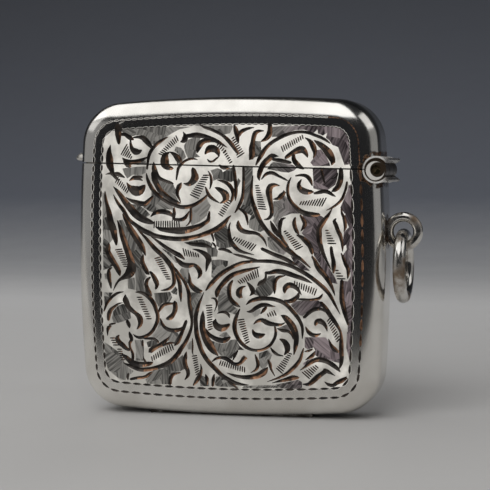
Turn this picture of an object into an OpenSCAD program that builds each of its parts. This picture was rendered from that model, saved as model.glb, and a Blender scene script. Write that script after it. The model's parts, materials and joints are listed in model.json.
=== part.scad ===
// Vesta case: a flat silver box for matches with a sprung lid hinged on one side.
// Front faces -Y, the hinge is on +X, +Z is up.
// The origin is the middle of the striker's sole, on which the case stands.

/* [Case] */
// Width of the case at the middle of its bowed sides, in mm
case_w = 45; // [42:0.5:50]
// Height of the case at the middle of its bowed crown and base, in mm
case_h = 45.5; // [43:0.5:52]
// Depth from the front face to the back face, in mm
case_d = 10.4; // [9.8:0.1:12]
// Radius of the four corners as seen from the front, in mm
corner_r = 6.2; // [5:0.1:8]
// Angle by which each bowed side turns between its middle and the corner, in degrees
bow_turn = 4.1; // [2:0.1:6]
// Rounding between the faces and the sides, in mm
edge_r = 3.2; // [2.7:0.1:3.4]
// Thickness of the silver sheet, in mm
sheet = 0.5; // [0.35:0.05:0.6]

/* [Lid] */
// Height of the hinge axis above the sole, in mm
hinge_z = 35.1; // [32:0.1:37]
// Rise of the seam from the hinge towards the thumb side, in degrees
seam_slope = 1.7; // [0:0.1:2.5]
// Gap between the lid and the body along the seam, in mm
seam_gap = 0.12; // [0.08:0.01:0.2]
// Angle to which the lid opens before the hinge lips meet, in degrees
lid_opens = 70; // [55:1:80]
// Distance by which the thumb lug stands out from the lid, in mm
lug_out = 2.2; // [1.5:0.1:2.6]
// Radius of the thumb lug as seen from above, in mm
lug_r = 3.6; // [3:0.1:4]
// Height of the thumb lug where it meets the lid, in mm
lug_h = 2.4; // [1.8:0.1:3]

/* [Bezel] */
// Height of the mouth bezel above the seam, in mm
bezel_rise = 1.2; // [0.8:0.1:1.5]
// Depth of the mouth bezel below the seam, in mm
bezel_drop = 3; // [2:0.5:5]
// Thickness of the mouth bezel, in mm
bezel_t = 0.35; // [0.3:0.05:0.45]
// Clearance between the mouth bezel and the lid, in mm
bezel_fit = 0.1; // [0.06:0.01:0.14]

/* [Hinge] */
// Distance of the hinge axis inside the outer face of the side, in mm
hinge_inset = 0.55; // [0.4:0.05:0.8]
// Distance of each end of the hinge behind the face of the case, in mm
hinge_end = 0.3; // [0.2:0.05:0.5]
// Outside diameter of the hinge channels, in mm
channel_d = 3.8; // [3.7:0.05:4.1]
// Wall of the hinge channels, in mm
channel_wall = 0.4; // [0.35:0.05:0.45]
// Length by which the stop lips stand out of the channels, in mm
lip_out = 0.45; // [0.3:0.05:0.6]
// Diameter of the hinge pin, in mm
pin_d = 1.3; // [1.1:0.05:1.4]
// Radial running clearance between the pin and the lid knuckle, in mm
pin_fit = 0.04; // [0.02:0.01:0.08]
// Width of the lid knuckle along the pin, in mm
lid_knuckle_w = 3.8; // [3.4:0.1:4.2]

/* [Spring] */
// Width of the snap spring, in mm
spring_w = 3; // [2.6:0.1:3.2]
// Thickness of the snap spring, in mm
spring_t = 0.3; // [0.25:0.05:0.35]
// Length of the straight foot of the snap spring, in mm
spring_foot = 12; // [10:0.5:14]

/* [Striker] */
// Length of the striker strip, in mm
striker_l = 24; // [20:0.5:28]
// Width of the striker strip, in mm
striker_w = 4.4; // [3.6:0.1:4.8]
// Spacing of the grooves across the striker strip, in mm
groove_pitch = 0.8; // [0.7:0.05:1.2]

/* [Suspension] */
// Height of the middle of the suspension loop above the sole, in mm
loop_z = 26.4; // [24:0.1:27]
// Outside diameter of the suspension loop, in mm
loop_d = 5.5; // [5.3:0.1:6]
// Wire diameter of the suspension loop, in mm
loop_wire = 1.38; // [1.2:0.02:1.44]
// Outside diameter of the jump ring, in mm
ring_d = 10.5; // [9.5:0.1:11]
// Wire diameter of the jump ring, in mm
ring_wire = 1.75; // [1.5:0.05:1.8]

/* [Hidden] */
$fn = 96;
bow_fn = 720;

// Height by which the striker's sole stands proud of the lowest point of the base.
sole_proud = 0.1;
case_mid = sole_proud + case_h / 2;
// Soldered pieces stand this far apart, the thickness of the solder.
solder = 0.02;
// A length beyond every face of the case, for cutting blocks.
far = 120;
// A length by which smaller cuts run past the faces that they open.
past = 1;

// The outline is eight arcs that run into each other: four bows and four corners.
// The side and crown gaps are the distances from a bow's centre to the centres of its corners.
bow_sin = sin(bow_turn);
bow_dip = 1 - cos(bow_turn);
flat_w = case_w / 2 - corner_r;
flat_h = case_h / 2 - corner_r;
bow_scale = pow(bow_sin, 2) - pow(bow_dip, 2);
side_gap = (flat_h * bow_sin - flat_w * bow_dip) / bow_scale;
crown_gap = (flat_w * bow_sin - flat_h * bow_dip) / bow_scale;
corner_x = crown_gap * bow_sin;
corner_z = side_gap * bow_sin;
side_bow = side_gap + corner_r;
crown_bow = crown_gap + corner_r;
// The bowed walls and the flat face lap into each other by these amounts.
wall_lap = 1;
core_lap = 0.7;

// Half-width of the case at a height above the sole.
function side_x(z) = sqrt(pow(side_bow, 2) - pow(z - case_mid, 2)) - side_bow + case_w / 2;

hinge_x = side_x(hinge_z) - hinge_inset;
hinge_len = case_d - 2 * hinge_end;
channel_r = channel_d / 2;
channel_in = channel_r - channel_wall;
knuckle_gap = 0.06;
knuckle_r = channel_in - knuckle_gap;
// Half of the angle between the stop lips with the lid closed, with one degree to spare.
lip_angle = lid_opens / 2 + 1;
lip_t = 0.35;
body_knuckle_w = (hinge_len - lid_knuckle_w) / 2 - seam_gap;
pin_end = 0.5;

// The cam has one flat for the closed lid and one for the open lid.
cam_angle = 195;
cam_cut = 0.26;
cam_flat = knuckle_r - cam_cut;
spring_gap = 0.03;

eye_r = (loop_d - loop_wire) / 2;
eye_hole = eye_r - loop_wire / 2;
loop_bite = 0.5;
eye_x = side_x(loop_z) + loop_d / 2 - loop_bite;
ring_r = (ring_d - ring_wire) / 2;
ring_gap = 0.06;
ring_z = loop_z - (eye_hole - ring_wire / 2 - ring_gap) - ring_r;

silver = [0.86, 0.85, 0.82];
steel = [0.55, 0.56, 0.58];
brass = [0.62, 0.52, 0.32];

// A move made in two steps, hundredths first, so that it keeps all its digits.
function hundredths(v) = [for (x = v) round(x * 100) / 100];
module fine_move(v) {
    translate(hundredths(v)) translate(v - hundredths(v)) children();
}

// Section of the case's rim from below its mid plane to its face, taken in from the outer skin.
module rim_section(inner, inset, below = 0) {
    reach = corner_r - inset;
    edge = edge_r - inset;
    depth = case_d / 2 - inset;
    translate([inner, -below]) square([reach - edge - inner, depth + below]);
    translate([inner, -below]) square([reach - inner, depth - edge + below]);
    translate([reach - edge, depth - edge]) intersection() {
        circle(edge);
        square(edge);
    }
}

// Section of a sheet wall bent round the rim, from a distance inside the corner's centre.
module wall_section(inner, inset, thick, below) {
    difference() {
        rim_section(inner, inset, below);
        rim_section(inner - thick, inset + thick, below);
    }
}

// Bowed stretch of a wall along one side, turned about the bow's centre.
module bow_wall(gap, middle, inset, thick, below) {
    rotate_extrude(angle = 2 * bow_turn, start = middle - bow_turn, $fn = bow_fn)
        fine_move([gap, 0]) wall_section(-wall_lap, inset, thick, below);
}

// Half of a hollow cushion of sheet: a flat face, four bowed walls and four corners.
module half_shell(inset, thick, below = 0) {
    face = case_d / 2 - inset - thick;
    core = hundredths([corner_x + core_lap, corner_z + core_lap]);
    translate([0, 0, case_mid]) rotate([90, 0, 0]) {
        translate([-core[0], -core[1], face]) cube([2 * core[0], 2 * core[1], thick]);
        for (flip_x = [0, 1], flip_z = [0, 1])
            mirror([flip_x, 0, 0]) mirror([0, flip_z, 0]) fine_move([corner_x, corner_z, 0])
                rotate_extrude(angle = 90 - 2 * bow_turn, start = bow_turn)
                    wall_section(core_lap / 2, inset, thick, below);
        for (flip = [0, 1]) {
            mirror([flip, 0, 0]) fine_move([case_w / 2 - side_bow, 0, 0])
                bow_wall(side_gap, 0, inset, thick, below);
            mirror([0, flip, 0]) fine_move([0, case_h / 2 - crown_bow, 0])
                bow_wall(crown_gap, 90, inset, thick, below);
        }
    }
}

// Frame of the seam: X towards the hinge side, Y up, Z to the front, origin on the hinge axis.
module seam_frame() {
    translate([hinge_x, 0, hinge_z]) rotate([0, seam_slope, 0]) rotate([90, 0, 0]) children();
}

// Block on one side of the seam, from a height above the seam to far away.
module above_seam(height) {
    seam_frame() translate([-far, height, -far / 2]) cube([2 * far, far, far]);
}

module below_seam(height) {
    seam_frame() translate([-far, height - far, -far / 2]) cube([2 * far, far, far]);
}

// Cut that clears the hinge channels out of the shells.
module hinge_clearing() {
    seam_frame() cylinder(r = channel_r + solder, h = 2 * case_d, center = true);
}

module striker_slot() {
    slot_deep = sole_proud + sheet + 2 * past;
    translate([-striker_l / 2 - solder, -striker_w / 2 - solder, -past])
        cube([striker_l + 2 * solder, striker_w + 2 * solder, slot_deep]);
}

module body_half() {
    difference() {
        intersection() {
            half_shell(0, sheet);
            below_seam(-seam_gap / 2);
        }
        hinge_clearing();
        striker_slot();
    }
}

module lid_half() {
    difference() {
        intersection() {
            half_shell(0, sheet);
            above_seam(seam_gap / 2);
        }
        hinge_clearing();
    }
}

module body_front_shell() {
    color(silver) body_half();
}

module body_back_shell() {
    color(silver) mirror([0, 1, 0]) body_half();
}

module lid_front_shell() {
    color(silver) lid_half();
}

module lid_back_shell() {
    color(silver) mirror([0, 1, 0]) lid_half();
}

// Strip let into the base: its grooved sole lights the matches.
module striker_strip() {
    inside = 0.2;
    border = 0.5;
    groove_deep = 0.3;
    groove_side = groove_deep * sqrt(2);
    groove_l = striker_w - 2 * border;
    thick = sole_proud + sheet + inside;
    count = floor((striker_l / 2 - 2 * border) / groove_pitch);
    color(silver) difference() {
        translate([-striker_l / 2, -striker_w / 2, 0]) cube([striker_l, striker_w, thick]);
        for (i = [-count : count - 1])
            translate([(i + 0.5) * groove_pitch, 0, 0]) rotate([0, 45, 0])
                cube([groove_side, groove_l, groove_side], center = true);
    }
}

// Collar inside the mouth that guides the lid; it stops short of the hinge.
module mouth_bezel() {
    outer = sheet + bezel_fit;
    half_lap = 0.5;
    hinge_space = 0.4;
    clear_x = channel_r + hinge_space;
    color(silver) intersection() {
        union() {
            half_shell(outer, bezel_t, half_lap);
            mirror([0, 1, 0]) half_shell(outer, bezel_t, half_lap);
        }
        seam_frame() translate([-far, -bezel_drop, -far / 2])
            cube([far - clear_x, bezel_drop + bezel_rise, far]);
    }
}

// Half-tube with a stop lip along its outer edge, drawn for the lid.
module channel_section() {
    reach = 2 * channel_r;
    intersection() {
        difference() {
            circle(channel_r);
            circle(channel_in);
        }
        polygon([[0, seam_gap / 2], [-reach, seam_gap / 2], [-reach, reach], [reach, reach],
                 [reach, reach * tan(lip_angle)]]);
    }
    rotate([0, 0, lip_angle]) translate([channel_in, 0])
        square([channel_wall + lip_out, lip_t]);
}

module lid_hinge_channel() {
    color(silver) seam_frame() linear_extrude(height = hinge_len, center = true) channel_section();
}

// Half-tube of the body, with the window through which the spring meets the lid knuckle.
module body_hinge_channel() {
    window_side = 0.25;
    window_w = spring_w + 2 * window_side;
    window_edge = 0.35;
    color(silver) seam_frame() difference() {
        mirror([0, 1, 0]) linear_extrude(height = hinge_len, center = true) channel_section();
        translate([-channel_d, -channel_d, -window_w / 2])
            cube([channel_d - window_edge, channel_d, window_w]);
    }
}

// Section of a knuckle with the bead of solder that joins it to its channel.
module knuckle_section(bead_angle) {
    bead_half = 35;
    reach = 2 * channel_in;
    circle(knuckle_r);
    intersection() {
        circle(channel_in - solder);
        rotate([0, 0, bead_angle])
            polygon([[0, 0], [reach, -reach * tan(bead_half)], [reach, reach * tan(bead_half)]]);
    }
}

module body_knuckle(bottom) {
    color(silver) seam_frame() translate([0, 0, bottom]) difference() {
        linear_extrude(height = body_knuckle_w) knuckle_section(270);
        translate([0, 0, -past]) cylinder(d = pin_d + solder, h = body_knuckle_w + 2 * past);
    }
}

module body_knuckle_front() {
    body_knuckle(hinge_len / 2 - body_knuckle_w);
}

module body_knuckle_back() {
    body_knuckle(-hinge_len / 2);
}

// Middle knuckle with the two cam flats on which the spring snaps.
module lid_knuckle() {
    color(silver) seam_frame() difference() {
        linear_extrude(height = lid_knuckle_w, center = true) knuckle_section(90);
        cylinder(d = pin_d + 2 * pin_fit, h = 2 * lid_knuckle_w, center = true);
        for (turn = [cam_angle, cam_angle + lid_opens])
            rotate([0, 0, turn]) translate([cam_flat, -channel_d, -lid_knuckle_w])
                cube([channel_d, 2 * channel_d, 2 * lid_knuckle_w]);
    }
}

module hinge_pin() {
    color(brass) seam_frame() cylinder(d = pin_d, h = hinge_len - 2 * pin_end, center = true);
}

// Solid disc whose rim is the bowed side away from the hinge, out by a distance.
module side_disc(out) {
    translate([0, 0, case_mid]) rotate([90, 0, 0]) mirror([1, 0, 0])
        fine_move([case_w / 2 - side_bow, 0, 0])
            rotate_extrude(angle = 4 * bow_turn, start = -2 * bow_turn, $fn = bow_fn)
                fine_move([side_gap, 0]) {
                    rim_section(-wall_lap, -out);
                    mirror([0, 1, 0]) rim_section(-wall_lap, -out);
                }
}

// Wedge under which the thumbnail lifts the lid, on the side away from the hinge.
module thumb_lug() {
    foot = 0.2;
    tip_low = 0.75;
    tip_t = 0.35;
    seam_left = hinge_z + (hinge_x + side_x(hinge_z)) * tan(seam_slope);
    root_deep = 0.8;
    root_r = lug_r - lug_out - root_deep;
    color(silver) difference() {
        translate([-side_x(seam_left) - lug_out + lug_r, 0, seam_left + seam_gap])
            rotate_extrude()
                polygon([[0, foot], [root_r, foot], [lug_r, tip_low], [lug_r, tip_low + tip_t],
                         [root_r, foot + lug_h], [0, foot + lug_h]]);
        side_disc(solder);
        translate([-side_x(seam_left) + edge_r, -far / 2, 0]) cube([far, far, far]);
    }
}

// Place of the spring: tangent to the closed flat of the cam, then straight down the side.
spring_lean = cam_angle - 180 - seam_slope;
spring_rise = 7;
spring_low = hinge_z - spring_rise - spring_foot;
spring_foot_x = min(side_x(spring_low), side_x(spring_low + spring_foot)) - sheet - solder;
spring_in = hinge_x - (cam_flat + spring_gap) * cos(spring_lean);
spring_top = hinge_z - (cam_flat + spring_gap) * sin(spring_lean);

// Steel strip with its foot along the side and its tip on the lid knuckle.
module snap_spring() {
    tip_past = 0.15;
    // Corners of the bent strip as seen from the front, outer face first.
    bend_x = spring_foot_x;
    bend_z = spring_top - (bend_x - spring_in) / tan(spring_lean);
    tip = [spring_in - tip_past * sin(spring_lean), spring_top + tip_past * cos(spring_lean)];
    across = [-spring_t * cos(spring_lean), -spring_t * sin(spring_lean)];
    bend_in = bend_z - spring_t * tan(spring_lean / 2);
    color(steel) rotate([90, 0, 0]) linear_extrude(height = spring_w, center = true)
        polygon([[bend_x, spring_low], [bend_x, bend_z], tip, tip + across,
                 [bend_x - spring_t, bend_in], [bend_x - spring_t, spring_low]]);
}

// Strap soldered to the side that holds the foot of the spring.
module spring_keeper() {
    strap = 0.4;
    keeper_h = 3;
    keeper_up = 1;
    keeper_ear = 1;
    keeper_w = spring_w + 2 * keeper_ear;
    slot_w = spring_w + 2 * solder;
    slot_x = spring_foot_x - spring_t - solder;
    color(silver) difference() {
        translate([slot_x - strap, -keeper_w / 2, spring_low + keeper_up])
            cube([strap + spring_t + solder, keeper_w, keeper_h]);
        translate([slot_x, -slot_w / 2, spring_low + keeper_up - past])
            cube([2 * spring_t, slot_w, keeper_h + 2 * past]);
    }
}

// Ring of wire soldered to the side, filed flat where it meets the case.
module suspension_loop() {
    color(silver) difference() {
        translate([eye_x, 0, loop_z]) rotate([90, 0, 0])
            rotate_extrude() translate([eye_r, 0]) circle(d = loop_wire);
        translate([side_x(loop_z) + solder - far, -far / 2, -far / 2]) cube(far * [1, 1, 1]);
    }
}

// Loose ring for the watch chain, hanging in the suspension loop.
module jump_ring() {
    color(silver) translate([eye_x, 0, ring_z]) rotate([0, 90, 0])
        rotate_extrude() translate([ring_r, 0]) circle(d = ring_wire);
}

body_front_shell();
body_back_shell();
striker_strip();
mouth_bezel();
body_hinge_channel();
body_knuckle_front();
body_knuckle_back();
hinge_pin();
snap_spring();
spring_keeper();
suspension_loop();
lid_front_shell();
lid_back_shell();
lid_hinge_channel();
lid_knuckle();
thumb_lug();
jump_ring();
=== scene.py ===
import json
import math
import random

import bpy
import numpy as np
from mathutils import Matrix, Vector, noise
from mathutils.geometry import delaunay_2d_cdt


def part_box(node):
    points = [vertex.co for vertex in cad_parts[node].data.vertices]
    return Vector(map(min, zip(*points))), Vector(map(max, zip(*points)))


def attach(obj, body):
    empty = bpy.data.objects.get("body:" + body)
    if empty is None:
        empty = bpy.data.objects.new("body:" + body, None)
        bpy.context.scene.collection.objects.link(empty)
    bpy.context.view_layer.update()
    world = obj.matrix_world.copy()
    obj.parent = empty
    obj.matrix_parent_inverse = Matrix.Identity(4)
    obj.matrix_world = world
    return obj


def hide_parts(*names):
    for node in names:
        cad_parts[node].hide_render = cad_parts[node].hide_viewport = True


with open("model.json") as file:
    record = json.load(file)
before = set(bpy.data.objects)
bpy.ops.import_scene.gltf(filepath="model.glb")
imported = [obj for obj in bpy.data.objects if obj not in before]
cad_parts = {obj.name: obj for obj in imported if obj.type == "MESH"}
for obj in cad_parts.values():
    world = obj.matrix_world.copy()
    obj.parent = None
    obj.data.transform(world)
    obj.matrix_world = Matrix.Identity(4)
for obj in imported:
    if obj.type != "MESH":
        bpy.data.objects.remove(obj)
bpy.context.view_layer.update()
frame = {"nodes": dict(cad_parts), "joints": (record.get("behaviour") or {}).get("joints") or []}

# Case shells: the body and the lid are each two pressed half shells of silver sheet, soldered edge to edge
# along the middle of the depth. The scrolls run over the seam, so the front is engraved whole, then parted.
# Sizes are in millimetres from the middle of the case, x towards the hinge and z towards the crown.
MM = 0.001
body_low, body_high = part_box("body_front_shell")
lid_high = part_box("lid_front_shell")[1]
half_w = (body_high.x - body_low.x) / 2 / MM
half_h = (lid_high.z - body_low.z) / 2 / MM
half_d = -body_low.y / MM
mid_z = (lid_high.z + body_low.z) / 2 / MM
solder_gap = -body_high.y / MM
corner_r = 6.2
edge_r = 3.2
sheet = 0.5
bow_turn = 4.1
bow_steps = 22
corner_steps = 18

# The sides and the crown bow by the same turn, and run into the arcs of the corners without a kink.
turn_sin = math.sin(math.radians(bow_turn))
turn_rise = 1 - math.cos(math.radians(bow_turn))
turn_span = turn_sin ** 2 - turn_rise ** 2
side_reach = ((half_h - corner_r) * turn_sin - (half_w - corner_r) * turn_rise) / turn_span
crown_reach = ((half_w - corner_r) * turn_sin - (half_h - corner_r) * turn_rise) / turn_span
side_bow = side_reach + corner_r
crown_bow = crown_reach + corner_r
corner_x = crown_reach * turn_sin
corner_z = side_reach * turn_sin


def outline(inset, fine=1):
    """Points round the case, this far inside its side, from the hinge side upwards."""
    arcs = [(half_w - side_bow, 0, side_bow, -bow_turn, bow_turn, bow_steps)]
    arcs.append((corner_x, corner_z, corner_r, bow_turn, 90 - bow_turn, corner_steps))
    arcs.append((0, half_h - crown_bow, crown_bow, 90 - bow_turn, 90 + bow_turn, bow_steps))
    arcs.append((-corner_x, corner_z, corner_r, 90 + bow_turn, 180 - bow_turn, corner_steps))
    points = []
    for turned, sign in ((0, 1), (180, -1)):
        for x, z, radius, start, stop, steps in arcs:
            for step in range(steps * fine):
                angle = math.radians(start + (stop - start) * step / (steps * fine) + turned)
                reach = radius - inset
                points.append((sign * x + reach * math.cos(angle), sign * z + reach * math.sin(angle)))
    return points


def inset_of(x, z):
    """How far inside the case's side the points lie."""
    side = side_bow - np.hypot(np.abs(x) + side_bow - half_w, z)
    crown = crown_bow - np.hypot(x, np.abs(z) + crown_bow - half_h)
    over_x = np.abs(x) - corner_x
    over_z = np.abs(z) - corner_z
    turn = np.degrees(np.arctan2(over_z, over_x))
    at_corner = (turn > bow_turn) & (turn < 90 - bow_turn)
    return np.where(at_corner, corner_r - np.hypot(over_x, over_z), np.minimum(side, crown))


def depth_at(inset):
    """How far the outer skin stands from the middle of the depth, at this inset."""
    lean = np.clip(edge_r - inset, 0, edge_r)
    return half_d - edge_r + np.sqrt(edge_r ** 2 - lean ** 2)


# Graver's cuts, each a smooth path through points of "x z width". A width runs out at both ends, where the
# graver enters and leaves the sheet. A line that ends in a comma runs on into the next.
cuts_upper_left = """
-15.55 18.6 .75, -15.58 17.6 .65, -15.55 16.9 .5, -15.5 16.25 .3
-15.1 17.5 .3, -14.6 17.5 .35, -14.1 17.2 .45, -13.7 16.95 .45, -13.3 16.75 .15
-13.3 17.05 .15, -12.5 17.1 .3, -11.9 17 .5, -11.4 16.55 .55, -10.9 16 .45, -10.55 15.6 .3
-13.75 16.7 .15, -13.7 16 .3, -13.5 15.4 .45, -13.05 15.05 .65, -12.55 15 .5, -12.15 15.2 .2
-16.78 16 .08, -17 15 .5, -16.95 14 .75, -16.9 13.2 .75, -16.7 12.65 .6, -16.5 12 .4
-17.55 11.8 .06, -16.87 11.95 .25, -16.35 11.7 .35, -15.9 11.2 .3, -15.5 10.95 .12
-16.3 12 .15, -15.6 11.8 .45, -14.7 11.35 .12
-15 14.15 .08, -14.5 13.7 .45, -14 13.5 .55, -13.2 13.6 .4, -12.3 13.75 .4, -11.25 14.2 .15
-14.7 13.6 .3, -14.2 13.15 .5, -13.8 12.95 .25
-8.2 17.05 .1, -9.05 16.6 .3, -9.8 16.1 .35, -10.4 15.5 .35, -10.85 14.8 .35, -11.1 14 .3, -11.3 12.55 .2
-11.4 11.9 .1, -11.25 11.1 .3, -10.9 10.3 .4, -10.4 9.5 .4, -9.6 8.7 .4, -8.6 8 .35, -7.7 7.55 .35,
    -6.6 7.2 .4, -6 7.1 .4, -5 7.2 .4, -4 7.6 .35, -3 8.25 .3, -2.4 8.8 .2
-7.95 14.9 .1, -8.5 14.55 .5, -8.65 13.9 .85, -8.6 13.2 .85, -8.2 12.75 .55, -7.55 12.6 .3
-7.9 14.95 .1, -7.25 14.6 .4, -6.8 14.15 .6, -6.5 13.75 .6, -6.3 13.5 .35
-10.3 13.5 .1, -10.25 12.65 .5, -9.9 11.7 .5, -9.4 11.2 .35, -8.6 10.85 .3, -7.9 10.6 .3, -7.45 10.45 .15
-10.5 12 .3, -10.2 11.1 .6, -9.9 10.4 .55, -9.4 9.5 .55, -8.75 8.9 .5, -7.85 8.25 .45, -7.1 7.85 .4,
    -6.35 7.65 .12
-13.95 10.9 .1, -13.4 11.25 .4, -12.9 11.3 .45, -12.4 11.1 .25, -12 10.9 .1
-12.7 11.45 .25, -12.1 11.4 .25
-14.35 10.6 .1, -14 10 .45, -13.6 9.7 .75, -12.95 9.4 1, -12.3 9.55 .85, -11.85 10 .5, -11.65 10.2 .2
-14.5 8.5 .08, -13.85 8.1 .3, -13 7.8 .45, -12.2 7.6 .5, -11.6 7.6 .5, -11.15 8 .4, -10.5 8.6 .25
-16.4 10.05 .06, -15.85 9.45 .35, -15.25 8.7 .5, -14.6 7.8 .6, -13.9 7 .7, -13.2 6.2 .75, -12.5 5.65 .72,
    -11.8 5.3 .65, -11 5 .5, -10.3 4.8 .2
-16.4 8.9 .06, -16.05 8.2 .25, -15.5 7.35 .35, -14.95 6.7 .4, -14.4 5.8 .35, -14 5.25 .35, -13 4.45 .42,
    -12 3.8 .5, -11 3.35 .5, -10 2.98 .45, -8 2.65 .45, -6 2.6 .45, -4 2.95 .42, -3 3.25 .45, -2 3.6 .5,
    -1 4.05 .55, 0 4.8 .5, .6 5.5 .3, 1.05 5.9 .1
-17.68 9.35 .12, -17.6 8.45 .3, -17.35 7.3 .4, -17.1 6.3 .55, -16.85 5 .65, -16.5 4 .7, -16.3 3 .6,
    -16.1 2.3 .45, -16.05 1.7 .2
"""
cuts_upper_middle = """
-3.5 18.75 .1, -2.7 18.35 .25, -1.9 18.1 .3, -1 17.7 .3, -.1 17.2 .3, .65 16.55 .4, 1.3 15.8 .4,
    1.8 15.1 .35, 2.1 14.7 .25
-5.6 17.2 .3, -5 17.2 .4, -4 17.3 .5, -3 17.15 .45, -2 16.9 .35, -1 16.4 .4, -.2 15.95 .25, .55 15.5 .06
-6.3 16.35 .1, -5.85 16.5 .5, -5.6 16.9 .6, -5.65 17.35 .3, -5.9 17.75 .06
-3.85 14.8 .15, -3.7 15.4 .5, -3.4 16 .6, -2.9 16.4 .5, -2.2 16.5 .4, -1.4 16.4 .25, -.85 16.2 .1
-2.65 14.65 .2, -2.35 15.1 .5, -2 15.35 .7, -1.45 15.35 .7, -1 15.1 .6, -.75 14.65 .4, -.65 14.3 .15
-2.35 13.85 .1, -2.05 13.55 .2, -1.55 13.55 .2, -1.1 13.9 .2, -.65 14.25 .1
-3.8 13.8 .06, -4.35 13.95 .2, -5 13.9 .25, -5.65 13.65 .25, -6.2 13.2 .3, -6.65 12.6 .3, -6.8 11.9 .25,
    -6.95 11 .15
-4.45 12.45 .45, -4.3 11.9 .6, -4.2 11.3 .8, -4.55 10.75 .65, -5.2 10.35 .4, -5.85 10.45 .1
-6.2 10.55 .1, -6.5 10.1 .5, -6.8 9.5 .4, -6.8 8.8 .3, -6.5 8.2 .2, -6.35 7.8 .08
-2.25 12.2 .08, -1.9 11.55 .25, -1.8 10.8 .3, -1.9 10.1 .2, -2.05 9.65 .08
-2.65 9.9 .15, -2.4 9.25 .3, -2.1 8.7 .35, -1.65 8.3 .3, -1.1 7.95 .2, -.65 7.7 .08
-1.2 9.85 .15, -.75 9.65 .4, -.2 9.3 .55, .25 8.85 .75, .3 8.3 .65, 0 7.9 .35, -.55 7.65 .1
-.9 10.95 .1, -.3 10.8 .25, .35 10.55 .35, .9 10.1 .4, 1.25 9.55 .4, 1.35 8.9 .3, 1.2 8.2 .3, 1 7.75 .15
1.45 12.9 .25, 1.55 12.1 .35, 1.65 11.3 .35, 1.75 10.4 .35, 1.8 9.55 .35, 1.75 8.75 .3, 1.7 8 .06
2.9 12.75 .25, 2.9 10.8 .3, 2.8 9.1 .3, 2.65 8.25 .35, 2.3 7.45 .35, 1.95 6.8 .25, 1.6 6.3 .1
4.25 11.5 .1, 4.1 10.4 .25, 4.02 9.3 .3, 4.1 8.3 .35, 4.35 7.4 .4, 4.75 6.3 .48, 5.1 5.5 .45, 5.5 4.8 .42,
    6.05 4.05 .4, 6.7 3.3 .45, 7.4 2.7 .45, 8.15 2.05 .5, 8.85 1.4 .5, 9.6 .85 .5, 10.3 .3 .42,
    11.05 -.15 .35, 11.75 -.75 .25, 12.45 -1.35 .1
1.65 18.45 .3, 1.85 17.8 .5, 2 17.2 .45, 2.1 16.45 .3, 2.2 16.1 .1
2.2 17.2 .4, 2.55 17.65 .4, 3.1 17.95 .35, 3.75 18.15 .25, 4.45 18.25 .08
5.85 17.75 .1, 5.2 17.75 .3, 4.65 17.5 .45, 4.4 16.9 .45, 4.3 16.3 .45, 4.15 15.4 .6, 4.15 14.6 .6, 4 14 .5,
    3.75 13.75 .1
-.6 13 .2, -.2 12.7 .35, .4 12.6 .3, .9 12.6 .1
"""
cuts_upper_right = """
4.7 13 .15, 5.1 13.75 .35, 5.55 14.5 .45, 6.05 15.25 .4, 6.9 16.05 .35, 7.9 16.65 .35, 9 17.15 .35,
    10.1 17.45 .3, 11.2 17.55 .3, 12.3 17.4 .3, 13.2 17.05 .3, 14 16.75 .3, 14.8 16.3 .25, 15.3 15.9 .08
7.95 14.2 .06, 7.1 14.25 .5, 6.5 13.8 .55, 5.85 13.2 .55, 5.5 12.65 .5, 5.25 12 .5, 5.1 11.3 .35,
    5.2 10.85 .1
5.5 11 .1, 6.05 11.65 .3, 6.7 11.9 .35, 7.3 11.8 .35, 8.05 11.4 .25, 8.85 11 .2, 9.3 10.75 .08
6.75 18.65 .4, 6.75 17.9 .5, 6.6 17.2 .55, 6.2 16.7 .45, 5.5 16.3 .15
9 14 .3, 9.4 14.3 .4, 9.95 14.65 .45, 10.6 14.95 .6, 11.3 15.1 .7, 11.75 14.75 .5, 12.05 14.2 .25,
    12.1 14 .08
10.1 14.4 .3, 10.15 13.7 .45, 10.5 13.2 .5, 10.95 12.75 .45, 11.5 12.45 .2
7.3 13.75 .3, 8.25 13.6 .4, 9.15 13.4 .35, 9.7 13.3 .25
11.75 16.75 .08, 12.4 16.3 .35, 12.85 15.65 .55, 13.05 15.1 .5, 13.15 14.55 .35, 12.9 13.9 .08
13.05 16.35 .1, 13.7 15.9 .45, 14.4 15.35 .6, 15.05 14.65 .75, 15.5 13.9 .65, 15.65 13.35 .5, 15.5 13 .2
8.1 10.1 .08, 7.4 10.2 .35, 6.8 10 .55, 6.55 9.3 .65, 6.65 8.5 .55, 6.8 7.6 .45, 6.95 6.7 .4, 6.85 5.9 .35,
    6.4 5.45 .25, 5.85 5.35 .08
7.2 8.2 .1, 7.85 8.3 .35, 8.3 8.65 .5, 8.7 9.1 .35, 8.7 9.4 .1
9.75 11.25 .08, 9.4 10.55 .25, 9.25 9.8 .3, 9.25 9.15 .3, 9.4 8.45 .35, 9.85 7.7 .35, 10.4 7.1 .4,
    11.05 6.55 .45, 11.85 6.2 .5, 12.75 6.05 .5, 13.7 6.05 .3
10.4 11.45 .15, 11.15 11.55 .25, 11.85 11.45 .35, 12.3 11.1 .4, 12.6 10.55 .3, 12.75 10.05 .08
11.2 10.9 .12, 10.85 10.35 .35, 10.95 9.75 .5, 11.5 9.35 .6, 12.15 9.2 .5, 12.7 9.25 .3
13.05 9 .2, 13.7 9.15 .35, 14.5 9.3 .4, 15.15 9.1 .35, 15.6 8.8 .25, 16.05 8.55 .06
16.8 12.3 .4, 16.8 11.35 .5, 16.65 10.55 .55, 16.3 9.8 .5, 15.85 9.45 .4, 15.5 9.25 .1
16.35 11.8 .1, 16.15 11.25 .2, 15.5 11 .08
14.05 12.25 .25, 14.25 11.35 .25, 14.5 10.45 .15
17.65 10.55 .2, 17.55 9.9 .25, 17.3 9.1 .25, 16.95 8.25 .3, 16.3 7.55 .25, 15.5 7 .2, 14.75 6.65 .06
"""
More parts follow.
